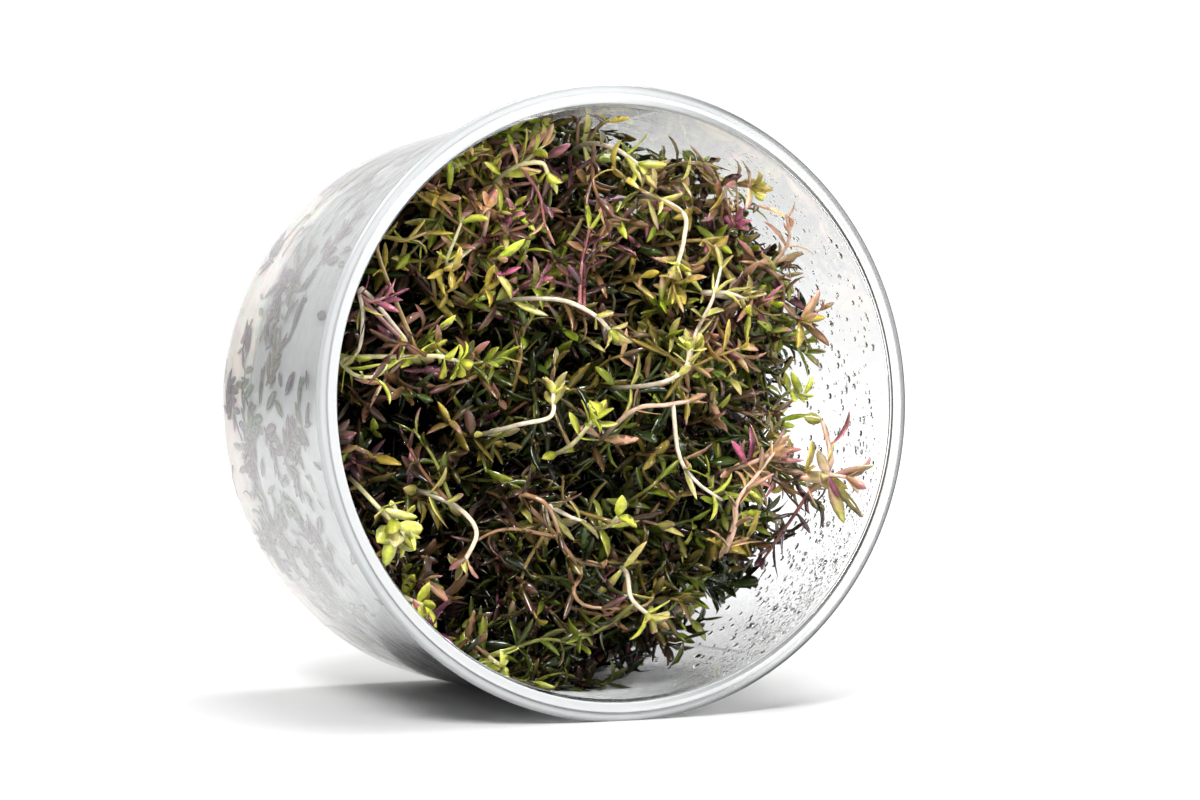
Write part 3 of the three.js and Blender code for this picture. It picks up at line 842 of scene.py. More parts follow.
# Fuller leaves on some named sprigs, as [share of the stem, leaves, length, width, styles]
WHORLS = {
    "reaching_sprig_right": [
        (0.62, 4, 5.6, 1.5, "olive pink"), (0.74, 3, 5.6, 1.3, "purple olive bronze"),
    ],
    "pink_sprig_right": [(0.72, 4, 6.5, 1.3, "pink magenta"), (0.9, 4, 6.5, 1.3, "pink bronze")],
    "yellow_cluster": [(0.78, 3, 4.0, 2.2, "yellow pale"), (0.90, 3, 4.0, 2.6, "yellow")],
    "yellow_tip_top": [(0.62, 2, 3.6, 1.2, "pink"), (0.97, 2, 3.2, 2.0, "yellow")],
    "round_leaf_pair": [(0.8, 2, 3.6, 2.3, "yellow"), (0.97, 2, 3.4, 2.4, "yellow")],
    "long_white_stem": [(0.82, 2, 3.6, 1.6, "pale"), (0.98, 2, 3.4, 1.5, "yellow")],
    "white_arch": [(0.9, 2, 3.6, 1.2, "pale"), (0.99, 3, 3.2, 1.1, "yellow")],
    "white_riser": [(0.72, 2, 3.2, 1.2, "pale"), (0.86, 2, 3.4, 1.2, "pale"), (0.98, 3, 3.4, 1.3, "yellow")],
    "bright_fork": [(0.8, 2, 4.0, 1.5, "yellow"), (0.96, 4, 4.4, 1.5, "yellow")],
    "pink_hook": [(0.55, 2, 4.4, 1.4, "pale"), (0.97, 3, 3.4, 1.2, "pink")],
    "white_sprig_low": [(0.7, 2, 3.6, 1.3, "pale"), (0.95, 4, 4.6, 1.5, "yellow pale")],
    "pink_arch": [(0.6, 2, 4.0, 1.2, "pink"), (0.96, 3, 4.0, 1.2, "pink olive")],
    "rim_sprig_left": [(0.9, 3, 4.4, 1.8, "yellow")],
    "sprig_top_right": [(0.85, 4, 5.5, 1.5, "bronze olive"), (0.97, 4, 4.6, 1.4, "pink yellow")],
    "round_leaf_right": [(0.97, 1, 3.0, 2.6, "yellow")],
    "sprig_right": [(0.95, 4, 6.0, 1.5, "pink bronze olive")],
    "pale_sprig_right": [(0.9, 4, 5.0, 1.6, "pale yellow")],
    "drooping_sprig_top": [(0.97, 2, 3.0, 1.6, "yellow")],
    "pale_sprig_top": [(0.86, 3, 5.5, 1.8, "yellow pale"), (0.97, 3, 4.6, 1.6, "yellow")],
}

# Leaves that show one by one, by sprig, as [foot, tip, width, bend, face, foot colour, tip colour]
TOWARDS = (-0.3, -0.2, 1.0)
FORK = (36.4, -11.9, 56)
ELBOW = (38, -7.1, 53)
OFFSHOOT_TIP = (37.4, -3.3, 52)
CLUSTER = (-33.8, -17.6, 55)
BRIGHT = (0.42, 0.44, 0.06)
FANS = {
    "reaching_sprig_right": [
        (FORK, (42.1, -10.3, 60), 1.5, 0.3, TOWARDS, (0.28, 0.12, 0.13), (0.2, 0.16, 0.05)),
        (FORK, (42.2, -13.8, 60), 1.8, -0.6, TOWARDS, (0.26, 0.08, 0.1), (0.09, 0.03, 0.05)),
        (FORK, (40.2, -18.3, 60), 1.4, 0.8, TOWARDS, (0.16, 0.14, 0.04), (0.05, 0.025, 0.025)),
        (FORK, (38.3, -19, 57), 2.1, 0.4, TOWARDS, (0.3, 0.15, 0.13), (0.3, 0.32, 0.05)),
        (FORK, (33.6, -14.5, 54), 1.3, 0.9, TOWARDS, (0.22, 0.17, 0.06), (0.16, 0.04, 0.07)),
        (FORK, (37.6, -15.1, 57), 1.1, 0.3, TOWARDS, (0.2, 0.06, 0.09), (0.1, 0.025, 0.05)),
        (FORK, (34.8, -7.8, 55.5), 1.8, 0.5, TOWARDS, (0.4, 0.27, 0.17), (0.22, 0.18, 0.07)),
        (FORK, (32.2, -12, 54.5), 1.9, 0.4, TOWARDS, (0.48, 0.42, 0.16), (0.34, 0.13, 0.12)),
        (ELBOW, (41.1, -1.9, 54), 1.3, 1.5, (-0.8, 0.5, 0.2), (0.36, 0.11, 0.15), (0.1, 0.04, 0.04)),
        (ELBOW, OFFSHOOT_TIP, 1.3, 0.6, (-1, 0, 0.2), (0.2, 0.1, 0.06), (0.09, 0.07, 0.03)),
        (OFFSHOOT_TIP, (35, -2.6, 50.5), 2, 0.5, TOWARDS, (0.2, 0.18, 0.04), (0.28, 0.28, 0.05)),
    ],
    "yellow_cluster": [
        (CLUSTER, (-29.8, -17.9, 56), 3, -0.9, TOWARDS, (0.46, 0.46, 0.08), (0.52, 0.5, 0.1)),
        (CLUSTER, (-36.6, -19.7, 55), 3.2, 1, TOWARDS, (0.44, 0.44, 0.07), BRIGHT),
        (CLUSTER, (-35.1, -23.3, 54), 2.2, -0.6, TOWARDS, BRIGHT, (0.34, 0.38, 0.05)),
        (CLUSTER, (-34.3, -13.6, 55), 1.8, 0.7, TOWARDS, (0.52, 0.48, 0.16), BRIGHT),
        (CLUSTER, (-31.2, -21, 56.5), 3.4, 1.2, TOWARDS, (0.5, 0.5, 0.1), BRIGHT),
        ((-35.4, -14.8, 54.5), (-30.6, -16.2, 56), 1.5, -1.6, TOWARDS, (0.5, 0.46, 0.2), BRIGHT),
        ((-33, -17, 55.4), (-34.6, -20.4, 57), 2.6, 1.4, TOWARDS, (0.54, 0.5, 0.14), (0.5, 0.36, 0.2)),
    ],
}

# Pale and tan shoots that lie on top, as [style, radius, spacing of the leaves, points]
ACCENTS = [
    ("pale", 0.42, 9, [(-37.4, 17.4, 53.6), (-38.2, 13.6, 55.5), (-38.2, 9.2, 54), (-39, 6.8, 52)]),
    ("yellow", 0.4, 4, [
        (-39.6, 7.4, 51), (-39.4, 5, 54), (-37.1, 4.5, 55), (-35.4, 5.1, 55), (-31.1, 7.8, 53),
    ]),
    ("magenta", 0.4, 4, [(-37.9, 16.2, 54), (-36.8, 15.5, 55.5), (-34.1, 16.3, 55)]),
    ("bronze", 0.45, 5, [
        (-12.7, -13.7, 52), (-10.7, -14.2, 55), (-9, -16.5, 55.5), (-7, -21.5, 55), (-3.9, -24.6, 54),
    ]),
    ("pale", 0.45, 9, [(-9.2, -15, 53), (-6.4, -16.7, 55), (-3.2, -17.7, 54)]),
    ("bronze", 0.42, 8, [(-3.3, -25.2, 52), (-5.4, -27.8, 54), (-3.9, -30.2, 55), (2.1, -30.9, 54)]),
    ("pink", 0.42, 4.5, [
        (21.5, -23, 50), (21.8, -19.4, 53), (22, -15.1, 54), (25.2, -11.4, 54), (29.6, -7.6, 52),
    ]),
    ("pale", 0.4, 9, [(13.7, -8.2, 51), (15.2, -12.2, 54), (19.3, -15, 54)]),
    ("olive", 0.42, 6, [(-34.3, 23.8, 51), (-30.9, 24.6, 54), (-26.6, 26, 53)]),
    ("yellow", 0.36, 8, [(-23, 20.9, 50), (-22.5, 25.2, 53), (-21.2, 28.1, 53)]),
    ("pale", 0.4, 5, [(18, 11, 49), (19.3, 15.5, 52), (22, 21.3, 50)]),
    ("pale", 0.42, 5, [(19.9, 16.8, 47), (22.9, 16.6, 50), (27.1, 15.6, 48)]),
]


def fan_leaf(foot, tip, width, bend, face, foot_colour, tip_colour):
    """A leaf from a foot to a tip, bent towards its face by an angle."""
    chord = np.subtract(tip, foot)
    reach = np.linalg.norm(chord)
    chord = chord / reach
    face = unit(face - chord * (chord @ face))
    half = bend / 2
    return {
        "foot": np.array(foot), "along": chord * math.cos(half) - face * math.sin(half),
        "face": face * math.cos(half) + chord * math.sin(half), "length": reach * half / math.sin(half),
        "width": width, "curl": bend, "fold": 0.3, "twist": 0.2,
        "colour": foot_colour, "tip_colour": tip_colour, "young": True,
    }


def whorls_of(plantlet, curve, chance):
    """The fuller leaves of a named sprig, in rings about its stem."""
    leaves = []
    for share, count, length, width, styles in WHORLS.get(plantlet["name"], []):
        turn = chance.uniform(0, math.pi)
        for index in range(count):
            around = turn + index * 2 * math.pi / count + chance.uniform(-0.3, 0.3)
            pitch = chance.uniform(42, 78)
            leaf = leaf_at(curve, share, around, pitch, length * chance.uniform(0.8, 1.15))
            dressed(leaf, chance.choice(styles.split()), 1.4, chance)
            leaf["width"] = width * chance.uniform(0.85, 1.15)
            leaf["fold"] *= 0.45
            leaf["curl"] *= 0.6
            leaves.append(leaf)
    return leaves


def stem_line(curve, step=1.1):
    rings = max(int(curve.length / step), 4)
    return [curve.at(index / rings) for index in range(rings + 1)]


# Hollows in the growth, as [x, y, width, depth]
HOLLOWS = [
    (-4, -2, 13, 3.5), (-33, -2, 4.5, 4), (-12, 8.5, 5, 7), (0, -13, 4.5, 7), (-22, -13, 4.5, 6),
    (12, 10, 4.5, 5), (-15, -26, 5, 5), (4, 22, 5, 4), (-30, 14, 4.5, 2), (14, -24, 5, 5),
]


def canopy(x, y):
    """How high the growth stands: higher against the left wall than against the right one, with hollows."""
    height = 51.0 - 0.11 * x + 0.03 * y
    return height - sum(depth * bump_near(x, y, (hx, hy), width) for hx, hy, width, depth in HOLLOWS)


def is_named(plantlet):
    return not plantlet["name"].startswith("plantlet")


# How many shoots of each kind are tried for a plantlet, and how high those against the wall reach
NAMED_SHOOTS = 26
PACKED_SHOOTS = 33
RUNNERS = 2
SPREADING_SHOOTS = 5
WALL_SHOOTS = {"left": 25, "low left": 25, "right": 16}
PRESSED_SHOOTS = {"left": 5, "low left": 3, "right": 2}
PRESSED_LEAVES = {"left": 34, "low left": 22, "right": 3}
SHOOT_LIMIT = {"left": 46, "low left": 46, "right": 26}
LEAF_LIMIT = {"left": 58, "low left": 58, "right": 28}

# Roots beside an outer plantlet, the number of their steps and the length of one
ROOTS = 2
ROOT_STEPS = 22
ROOT_STEP = 0.55

# Shoots off a stem: how far out and up they reach, and their radius and the spacing of their leaves
SHOOT_REACH = (2.5, 6.5)
SHOOT_RISE = (2, 9)
RUNNER_REACH = (7, 15)
SIDE_SHOOT = (0.34, 2.3)
RUNNER = (0.36, 3.2)
WALL_SHOOT = (0.3, 2.3)

# Radius of a plantlet's stem, what it loses up to the tip, the radius of stems and roots pressed against
# the wall, and the gap that leaves pressed there keep from it
STEM_RADIUS = 0.42
STEM_TAPER = 0.1
PRESSED_RADIUS = 0.14
ROOT_RADIUS = 0.12
PRESSED_GAP = 0.06


def side_shoots(plantlet, curve, chance):
    """Short leafy shoots out of the leaf axils, kept close to their stem."""
    named = is_named(plantlet)
    for _ in range(NAMED_SHOOTS if named else PACKED_SHOOTS):
        share = chance.uniform(0.05, plantlet["leafy"] if named else 0.97)
        start = curve.at(share)
        tangent = curve.tangent(share)
        aside = (math.cos(chance.uniform(0, 6.3)), math.sin(chance.uniform(0, 6.3)), 0.2)
        side = unit(np.cross(tangent, aside))
        reach = chance.uniform(*SHOOT_REACH)
        rise = chance.uniform(*SHOOT_RISE)
        bend = start + side * reach * 0.7 + tangent * rise * 0.35
        end = start + side * reach + tangent * rise
        if off_axis(end) < inner_radius(end[2]) + 1 and end[2] < canopy(*end[:2]):
            yield Curve([start, bend, end])


def runners(curve, chance):
    """Longer shoots that lie across the top of the growth, with their leaves further apart."""
    for _ in range(RUNNERS):
        start = curve.at(chance.uniform(0.55, 0.95))
        heading = chance.uniform(0, 2 * math.pi)
        reach = chance.uniform(*RUNNER_REACH)
        sideways = chance.uniform(-2.5, 2.5)
        end = start + heading_to(heading) * reach
        bend = start + heading_to(heading) * reach * 0.55 + heading_to(heading + math.pi / 2) * sideways
        bend[2] = min(canopy(*bend[:2]) + chance.uniform(-3, 2), start[2] + 9)
        end[2] = bend[2] + chance.uniform(-3, 3)
        if off_axis(end) < inner_radius(end[2]) - 1.5 and end[2] < CUP_DEPTH - 4:
            yield Curve([start, bend, end])


def reaches_wall(curve):
    return inner_radius(30) - off_axis(curve.at(0.3)) < 13


def wall_side(curve):
    """The side of the cup that a plantlet near the wall stands on."""
    x, y, _ = curve.at(0.3)
    if x >= -5:
        return "right"
    return "low left" if y < -10 else "left"


def wall_shoots(curve, chance):
    """Shoots that reach the wall beside an outer plantlet and run up along it."""
    side = wall_side(curve)
    for _ in range(WALL_SHOOTS[side]):
        start = curve.at(chance.uniform(0.02, 0.95))
        around = math.atan2(start[1], start[0]) + chance.uniform(-0.24, 0.24)
        height = start[2] + chance.uniform(-1, 5 if side == "right" else 8)
        onward = around + chance.uniform(-0.09, 0.09)
        top = height + chance.uniform(2, 7)
        if top > chance.triangular(*((22, 46, 34) if side == "right" else (40, 57, 55))):
            continue
        middle = heading_to(around) * (inner_radius(height) - 1.3)
        end = heading_to(onward) * (inner_radius(height) - 1.3)
        middle[2] = height
        end[2] = top
        yield Curve([start, middle, end])


def on_the_wall(around, height, inset):
    return heading_to(around) * (inner_radius(height) - inset) + np.array([0, 0, height])


WALL_STYLES = ("purple", "umber", "olive", "green", "purple", "green")
WALL_TINTS = {
    "purple": (0.115, 0.035, 0.075), "umber": (0.070, 0.040, 0.035), "olive": (0.130, 0.120, 0.025),
    "green": (0.070, 0.130, 0.025),
}
ROOT_TINTS = ((0.14, 0.15, 0.06), (0.16, 0.08, 0.09), (0.30, 0.28, 0.16))


def pressed_leaf(around, height, lean, style, chance):
    """A leaf flat against the wall, leaning by an angle from the way round it."""
    length = chance.triangular(2.2, 6.2, 3.4)
    if height + math.sin(lean) * length < 4.5:
        lean = -lean
    width = length * chance.uniform(0.22, 0.42)
    shade = np.array(WALL_TINTS[style]) * chance.uniform(0.5, 1.3)
    return {
        "foot": on_the_wall(around, height, -0.05), "face": -heading_to(around),
        "along": heading_to(around + math.pi / 2) * math.cos(lean) + np.array([0, 0, math.sin(lean)]),
        "length": length, "width": width, "curl": 0.12, "fold": 0.0, "twist": 0.0,
        "colour": shade, "tip_colour": shade * 1.3,
    }


def wall_tube(line, radius, tint):
    return tube_mesh(line, [radius] * len(line), [tint] * len(line), 5)


def pressed_growth(curve, chance):
    """Shoots and single leaves flat against the wall beside an outer plantlet, thickest by the gel."""
    root = curve.at(0.3)
    facing = math.atan2(root[1], root[0])
    side = wall_side(curve)
    stems = []
    leaves = []
    for shoot in range(PRESSED_SHOOTS[side]):
        around = facing + chance.uniform(-0.2, 0.2)
        height = chance.uniform(7, 18) if shoot % 2 else chance.triangular(18, SHOOT_LIMIT[side], 24)
        heading = chance.uniform(0, 2 * math.pi)
        style = chance.choice(WALL_STYLES)
        line = []
        for step in range(chance.randint(5, 11)):
            heading += chance.uniform(-0.25, 0.25)
            around += math.cos(heading) / BASE_RADIUS
            height = clamped(height + math.sin(heading), 6.0, 54.0)
            line.append(on_the_wall(around, height, 0.2))
            if step % 2:
                spread = chance.uniform(0.6, 1.1)
                for lean in (heading + spread, heading - spread):
                    leaves.append(pressed_leaf(around, height, lean, style, chance))
        stems.append(wall_tube(line, PRESSED_RADIUS, np.array(STYLES[style][3]) * 0.6))
    for _ in range(PRESSED_LEAVES[side]):
        height = chance.triangular(8, LEAF_LIMIT[side], 26)
        lean = chance.uniform(0, 2 * math.pi)
        around = facing + chance.uniform(-0.2, 0.2)
        leaves.append(pressed_leaf(around, height, lean, chance.choice(WALL_STYLES), chance))
    return stems, leaves


def roots_of(curve, chance):
    """Thin roots that come out of the gel and wander along the wall beside an outer plantlet."""
    parts = []
    root = curve.at(0)
    facing = math.atan2(root[1], root[0])
    for _ in range(ROOTS):
        around = facing + chance.uniform(-0.15, 0.15)
        height = chance.uniform(3, 16)
        heading = chance.uniform(0, 2 * math.pi)
        line = []
        for _ in range(ROOT_STEPS):
            heading += chance.uniform(-0.6, 0.6)
            around += math.cos(heading) * ROOT_STEP / BASE_RADIUS
            height = clamped(height + math.sin(heading) * ROOT_STEP, 3.0, 24.0)
            line.append(on_the_wall(around, height, 0.17))
        parts.append(wall_tube(line, ROOT_RADIUS, np.array(chance.choice(ROOT_TINTS))))
    return parts


# Ground that the plantlets beside it grow over, as [x, y, width]
BARE = [
    (35, 0, 5), (26, -28, 5), (30, -24, 5), (-28, -1, 4.5), (-26, 25, 4.5), (-21, 13, 4), (27, 3, 4),
    (-33, -4, 4), (-21, -27, 4), (-22, 31, 5), (-8, 36, 4), (16, 33, 4),
]


def spreading_shoots(curve, chance):
    """Shoots that lean out over bare ground next to a plantlet."""
    root = curve.at(0.2)
    for x, y, width in BARE:
        if math.hypot(root[0] - x, root[1] - y) > 10:
            continue
        for _ in range(SPREADING_SHOOTS):
            start = curve.at(chance.uniform(0.02, 0.7))
            foot = np.array([x + chance.gauss(0, width / 2), y + chance.gauss(0, width / 2), start[2] + 1.0])
            end = foot + np.array([chance.uniform(-1, 1), chance.uniform(-1, 1), chance.uniform(4, 9)])
            if off_axis(end) < inner_radius(end[2]) - 1 and end[2] < canopy(x, y):
                yield Curve([start, foot, end])


def shoot_leaves(shoot, style, spacing, chance):
    """Pairs along a shoot, each turned about a quarter from the last, some with a fresh pair at the tip."""
    leaves = []
    last = shoot.at(1)
    fresh = style
    if last[2] > canopy(last[0], last[1]) - 9 and chance.random() < 0.11:
        fresh = chance.choice(["pale", "pink", "yellow"])
    pairs = max(int(shoot.length / spacing), 2)
    turn = chance.uniform(0, math.pi)
    for pair in range(pairs):
        share = (pair + 1) / (pairs + 0.3)
        kind = fresh if pair == pairs - 1 else style
        turn += math.pi / 2 + chance.uniform(-0.3, 0.3)
        for half in (0, math.pi):
            pitch = chance.uniform(40, 80) - 25 * share
            length = LEAF_LENGTH * chance.uniform(0.65, 1.25) * (1.05 - 0.3 * share)
            leaf = leaf_at(shoot, share, turn + half, pitch, length)
            leaves.append(dressed(leaf, kind, share, chance, 0.9))
    return leaves


# How far inside the wall the mist's film stands, how softly the growth gives way at the wall and at the gel,
# and the least height at which it stands
FILM_INSET = 0.45
GIVE_AT_WALL = 0.4
GIVE_AT_GEL = 0.8
LEAST_HEIGHT = GEL_TOP + 1.0


def against_the_wall(points, gap):
    """Presses what would reach through the wall, the gel or the mouth flat, a gap short of the wall."""
    points = points.copy()
    radius = np.hypot(points[:, 0], points[:, 1])
    start = inner_radius(points[:, 2]) - gap - GIVE_AT_WALL
    over = np.maximum(radius - start, 0)
    pressed = np.where(over > 0, start + GIVE_AT_WALL * (1 - np.exp(-over / GIVE_AT_WALL)), radius)
    points[:, :2] *= (pressed / np.maximum(radius, 1e-6))[:, None]
    sunk = np.maximum(LEAST_HEIGHT - points[:, 2], 0)
    pushed_up = LEAST_HEIGHT - GIVE_AT_GEL * (1 - np.exp(-sunk / GIVE_AT_GEL))
    points[:, 2] = np.where((gap > FILM_INSET) & (sunk > 0), pushed_up, points[:, 2])
    points[:, 2] = np.minimum(points[:, 2], CUP_DEPTH - 0.2)
    return points


def fits(leaf):
    end = leaf["foot"] + leaf["along"] * leaf["length"]
    return off_axis(end) < inner_radius(end[2]) + 2.6 and 3.0 < end[2] < CUP_DEPTH


def nearest_plantlet(point):
    """The plantlet whose stem passes nearest to a point, as its name and the share of the stem."""
    near = (math.inf, None, 0)
    for plantlet in plantlets:
        for share in (0.4, 0.55, 0.7, 0.85):
            apart = np.linalg.norm(plantlet["curve"].at(share) - point)
            near = min(near, (apart, plantlet["name"], share))
    return near[1:]


accents = {}
for accent_style, accent_radius, accent_spacing, accent_points in ACCENTS:
    root_name, root_share = nearest_plantlet(accent_points[0])
    own_curve = next(plantlet["curve"] for plantlet in plantlets if plantlet["name"] == root_name)
    accent_curve = Curve([own_curve.at(root_share), *accent_points])
    accents.setdefault(root_name, []).append((accent_style, accent_curve, accent_radius, accent_spacing))

# The second stem of the sprig that reaches towards the rim
OFFSHOOT_OF = "reaching_sprig_right"
OFFSHOOT = [(36.2, -11.6, 55.4), (37.6, -9.6, 54.6), ELBOW, OFFSHOOT_TIP]
OFFSHOOT_RADII = [0.5, 0.45, 0.4, 0.3]

# A near-black stem colour for the foot of a plantlet's stem, and as painted shade for shoots that end deep
# down
DEEP_STEM = np.array(STYLES["olive"][0]) * 1.5


def own_leaves(plantlet, main_style, chance):
    """The leaves on a plantlet's own stem, those near its tip in its own style."""
    named = is_named(plantlet)
    leaves = []
    for leaf in leaves_of(plantlet, plantlet["curve"]):
        share = leaf["share"] / plantlet["leafy"]
        top = "tip" in leaf or share > 0.8
        style = main_style if top or not named else style_for(leaf["foot"], chance)
        scale = 1.35 if "tip" in leaf and plantlet["colour"] in ("yellow", "pale") else 1.1
        leaves.append(dressed(leaf, style, 1.4 if top and named else min(share, 1), chance, scale))
    leaves += whorls_of(plantlet, plantlet["curve"], chance)
    return leaves + [fan_leaf(*fan) for fan in FANS.get(plantlet["name"], [])]


def own_shoots(plantlet, chance):
    """Every shoot off a plantlet's stem, as its style, curve, radius and the spacing of its leaves."""
    curve = plantlet["curve"]
    shoots = [(shoot, *SIDE_SHOOT) for shoot in side_shoots(plantlet, curve, chance)]
    shoots += [(shoot, *RUNNER) for shoot in runners(curve, chance)]
    shoots += [(shoot, *SIDE_SHOOT) for shoot in spreading_shoots(curve, chance)]
    if reaches_wall(curve):
        shoots += [(shoot, *WALL_SHOOT) for shoot in wall_shoots(curve, chance)]
    styled = [(style_for(shoot.at(1), chance), shoot, *form) for shoot, *form in shoots]
    return styled + accents.get(plantlet["name"], [])


def wet_spots_of(leaves):
    """Places on the leaves on top, where a bead of water can sit."""
    for leaf in leaves:
        place = leaf["foot"] + leaf["along"] * leaf["length"] * 0.25 + leaf["face"] * 0.1
        if canopy(*place[:2]) - 4 < place[2] < 57 and off_axis(place) < 41:
            yield place


def grow(plantlet):
    """Builds a plantlet with all its shoots, leaves and roots as one mesh."""
    curve = plantlet["curve"]
    chance = random.Random(plantlet["seed"] * 7 + 3)
    named = is_named(plantlet)
    main_style = plantlet["colour"] if named else style_for(curve.at(0.9), chance)
    stem_colour = np.array(STYLES[main_style][3])
    line = stem_line(curve)
    shares = np.linspace(0, 1, len(line))
    tints = [between((DEEP_STEM, stem_colour), clamped((share - 0.35) / 0.35)) for share in shares]
    parts = [tube_mesh(line, STEM_RADIUS - STEM_TAPER * shares, tints)]
    if plantlet["name"] == OFFSHOOT_OF:
        parts.append(tube_mesh(OFFSHOOT, OFFSHOOT_RADII, [stem_colour] * len(OFFSHOOT)))
    in_young = [int(named)] * sum(len(part[1]) for part in parts)
    leaves = own_leaves(plantlet, main_style, chance)
    for style, shoot, radius, spacing in own_shoots(plantlet, chance):
        shoot_line = stem_line(shoot, 1.7)
        # Painted shade: a shoot's stem darker the deeper it ends
        tint = between((DEEP_STEM, np.array(STYLES[style][3])), clamped(light_at(shoot.at(1)[2]), 0.1))
        radii = np.linspace(radius, radius * 0.6, len(shoot_line))
        parts.append(tube_mesh(shoot_line, radii, [tint] * len(shoot_line), 5))
        in_young += [0] * len(parts[-1][1])
        leaves += shoot_leaves(shoot, style, spacing, chance)
    leaves = sorted((leaf for leaf in leaves if fits(leaf)), key=lambda leaf: leaf["young"])
    wet_spots.extend(wet_spots_of(leaves))
    parts.append(leaf_mesh(leaves))
    in_young += [int(leaf["young"]) for leaf in leaves for _ in range(FACES_OF_A_LEAF)]
    parts = [(against_the_wall(points, FILM_INSET + 0.05), faces, tints) for points, faces, tints in parts]
    if reaches_wall(curve):
        stems, pressed = pressed_growth(curve, chance)
        points, faces, tints = leaf_mesh(pressed)
        parts += [(against_the_wall(points, PRESSED_GAP), faces, tints), *stems, *roots_of(curve, chance)]
    points, faces, tints = joined(parts)
    in_young += [0] * (len(faces) - len(in_young))
    made = piece(
        "grown_" + plantlet["name"], points, faces, old_growth,
        tints, young_growth, in_young,
    )
    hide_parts(plantlet["name"])


# Cup and gel
plastic = clear_plastic()
points, faces = turned(cup_profile(), CUP_SIDES)
cup = piece("clear_cup", on_the_floor(points), faces, plastic)
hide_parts("cup")


def gel_profile():
    inset = WALL + GAP
    corner = (BASE_RADIUS - CORNER_RADIUS, CORNER_RADIUS)
    edge = inner_radius(GEL_TOP) - GAP
    climb = [(edge - inward, GEL_TOP + rise) for inward, rise in GEL_CLIMB]
    return [(0, inset), *arc(corner, CORNER_RADIUS - inset, -90, 0, 8), *climb, (0, GEL_TOP)]


points, faces = turned(gel_profile(), GEL_SIDES)
gel = piece("cloudy_gel", points, faces, cloudy_gel())
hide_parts("gel")

old_growth = foliage("wet foliage", 0.0)
young_growth = foliage("young shoots", 0.35)
wet_spots = []
for plantlet in plantlets:
    grow(plantlet)

# Mist inside the left of the wall: a thin closed film, with the leaves that touch the wall in front of it
FILM_TOP = CUP_DEPTH - 1.6
FILM_FOOT = GEL_TOP + 1.4
FILM_START = math.radians(80)
FILM_END = math.radians(300)
FILM_MARGIN = math.radians(1)
FILM_THICKNESS = 0.03


def film():
    """A grid on the wall side, the same grid a little further in, and the four edges between them."""
    between_edges = np.linspace(FILM_FOOT + 0.4, FILM_TOP - 0.4, 12)
    heights = [FILM_FOOT, FILM_FOOT + 0.1, *between_edges, FILM_TOP - 0.1, FILM_TOP]
    angles = [FILM_START, *np.linspace(FILM_START + FILM_MARGIN, FILM_END - FILM_MARGIN, 100), FILM_END]
    points = [
        on_the_wall(angle, height, inset)
        for inset in (FILM_INSET, FILM_INSET + FILM_THICKNESS) for height in heights for angle in angles
    ]
    across = len(angles)
    behind = across * len(heights)
    rows = range(0, behind - across, across)
    columns = range(across - 1)
    faces = []
    for row in rows:
        for column in columns:
            low = row + column
            high = low + across
            faces.append((low, low + 1, high + 1, high))
            faces.append((behind + low, behind + high, behind + high + 1, behind + low + 1))
    for column in columns:
        top = behind - across + column
        faces.append((column, behind + column, behind + column + 1, column + 1))
        faces.append((top, top + 1, behind + top + 1, behind + top))
    for first in rows:
        last = first + across - 1
        faces.append((first, first + across, behind + first + across, behind + first))
        faces.append((last, behind + last, behind + last + across, last + across))
    return points, faces


points, faces = film()
piece("condensation", points, faces, condensation())

# Water drops on the right of the wall, thick along the bottom and in streaks, and dew on the leaves on top
DROPS = 2300
DROP_SIDES = 8
DROP_TILTS = (0.55, 1.05, 1.5)
DEW = 220
DEW_TILTS = (0.6, 1.2, 1.9, 2.5)


def bead(middle, axis, across, along, tilts):
    """A closed bead: a point at the end of its axis, and rings of points tilted away from that axis."""
    points = [middle + axis]
    for tilt in tilts:
        for step in range(DROP_SIDES):
            turn = 2 * math.pi * step / DROP_SIDES
            flat = across * math.cos(turn) + along * math.sin(turn)
            points.append(middle + axis * math.cos(tilt) + flat * math.sin(tilt))
    faces = [(0, 1 + step, 1 + (step + 1) % DROP_SIDES) for step in range(DROP_SIDES)]
    last = 1 + (len(tilts) - 1) * DROP_SIDES
    for low in range(1, last, DROP_SIDES):
        high = low + DROP_SIDES
        for step in range(DROP_SIDES):
            beside = (step + 1) % DROP_SIDES
            faces.append((low + step, high + step, high + beside, low + beside))
    faces.append(tuple(last + step for step in reversed(range(DROP_SIDES))))
    return np.array(points), faces, np.ones((len(points), 4))


def wall_drop(angle, height, size, stretch):
    """A bead on the inside of the wall, longer round the wall by the stretch."""
    middle = on_the_wall(angle, height, 0.01)
    inward = -heading_to(angle) * size * 0.95
    around = heading_to(angle - math.pi / 2) * size * stretch
    return bead(middle, inward, around, np.array([0, 0, size]), DROP_TILTS)


chance = random.Random(41)
drops = []
while len(drops) < DROPS:
    kind = chance.random()
    size = 0.11 + 0.15 * chance.random() ** 1.5
    if kind < 0.55:
        angle = math.radians(chance.triangular(-82, -8, -48))
        height = 60.0 - abs(chance.gauss(0, 6.5))
    elif kind < 0.7:
        angle = math.radians(chance.uniform(-112, -70))
        height = chance.uniform(48, 60)
    elif kind < 0.86:
        angle = math.radians(chance.uniform(-25, 60))
        height = chance.triangular(26, 60, 54)
    else:
        angle = math.radians(chance.triangular(-80, 60, -35))
        height = chance.uniform(30, 58)
        size = chance.uniform(0.25, 0.55)
    drops.append(wall_drop(angle, height, size, chance.uniform(0.8, 1.25)))
for place in chance.sample(wet_spots, DEW):
    across, along, upward = np.eye(3) * chance.uniform(0.16, 0.34)
    drops.append(bead(place, upward, across, along, DEW_TILTS))
points, faces, _ = joined(drops)
piece("water_drops", points, faces, water())

# Stage and light
FLOOR_REACH = 6
CUP_CENTRE = Vector((0, 0, 0.045))


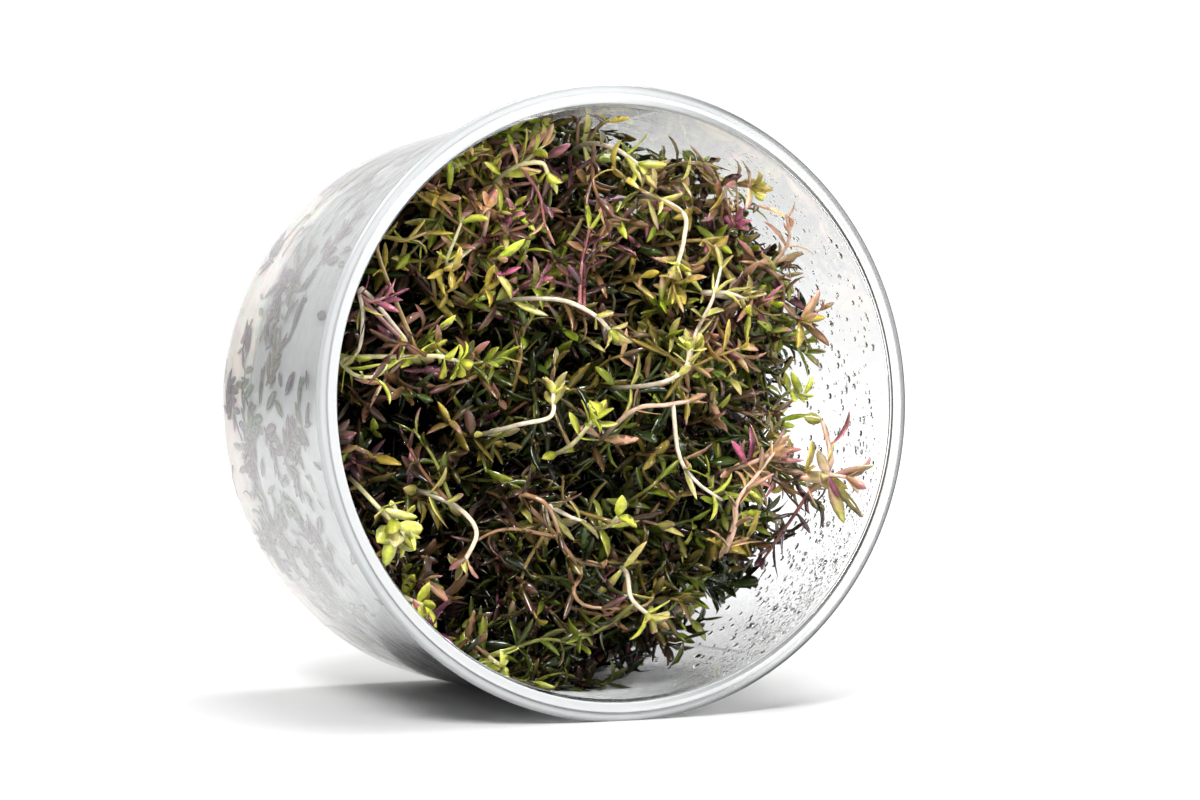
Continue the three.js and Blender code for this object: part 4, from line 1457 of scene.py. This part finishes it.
def pale_floor():
    """A floor that glows as painted light: none next to the cup, more further from it and a little on its
    right, and less where the flag stands in that light except as the camera sees it.
    """
    shade = Shade("pale floor")
    shade.to("Base Color", shade.span(shade.noise(3, 2), 0.3, 0.7, 0.49, 0.51))
    shade.set(Roughness=0.6, Specular_IOR_Level=0.2, Emission_Color=(1, 1, 1, 1))
    away = shade.length(shade.position())
    x = shade.node("SeparateXYZ", {0: shade.position()})["X"]
    glow = shade.math("MAXIMUM", shade.span(away, 0.1, 0.5, 0, 0.82), shade.span(x, 0, 0.06, 0, 0.1))
    unflagged = shade.unflagged(shade.math("DIVIDE", x, away), 0.73)
    shade.to("Emission Strength", shade.times(glow, shade.math("MAXIMUM", unflagged, shade.seen_directly())))
    return shade.material


floor_mesh = bpy.data.meshes.new("floor")
floor_corners = [(x * FLOOR_REACH, y * FLOOR_REACH, 0) for x, y in ((-1, -1), (1, -1), (1, 1), (-1, 1))]
floor_mesh.from_pydata(floor_corners, [], [(0, 1, 2, 3)])
floor_mesh.materials.append(pale_floor())
floor = bpy.data.objects.new("floor", floor_mesh)
bpy.context.scene.collection.objects.link(floor)
floor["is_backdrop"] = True


def softbox(name, place, size, power):
    """A rectangular light that faces the middle of the cup."""
    data = bpy.data.lights.new(name, "AREA")
    data.shape = "RECTANGLE"
    data.size, data.size_y = size
    data.energy = power
    lamp = bpy.data.objects.new(name, data)
    lamp.location = place
    lamp.rotation_euler = (CUP_CENTRE - lamp.location).to_track_quat("-Z", "Y").to_euler()
    bpy.context.scene.collection.objects.link(lamp)


softbox("key_front_left", (-0.45, -0.6, 0.75), (0.34, 0.34), 17.5)
softbox("top", (0.15, 0.1, 0.8), (0.5, 0.5), 8)
softbox("front_right", (0.7, -0.5, 0.35), (0.35, 0.5), 5.5)


def studio():
    """White behind the cup, darker overhead and on the camera's side, as in a studio with a white sweep."""
    world = bpy.data.worlds.new("studio")
    world.use_nodes = True
    sky = Nodes(world.node_tree)
    axes = sky.node("SeparateXYZ", {0: sky.node("TexCoord")["Generated"]})
    behind = sky.span(axes["Y"], -0.7, 0.3, 0.12, 1)
    overhead = sky.span(axes["Z"], 0.25, 0.9, 1, 0.75)
    level = sky.span(axes["Z"], 0, 0.3, 1.05, sky.times(behind, overhead))
    lit = sky.times(level, sky.unflagged(axes["X"], 0.636))
    background = world.node_tree.nodes["Background"]
    background.inputs["Color"].default_value = (1, 1, 1, 1)
    sky.links.new(sky.math("MAXIMUM", lit, sky.seen_directly()), background.inputs["Strength"])
    return world


bpy.context.scene.world = studio()

boxes = {"cad": cad_box, "visual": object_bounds()}
{name: [list(low), list(high)] for name, (low, high) in boxes.items()}
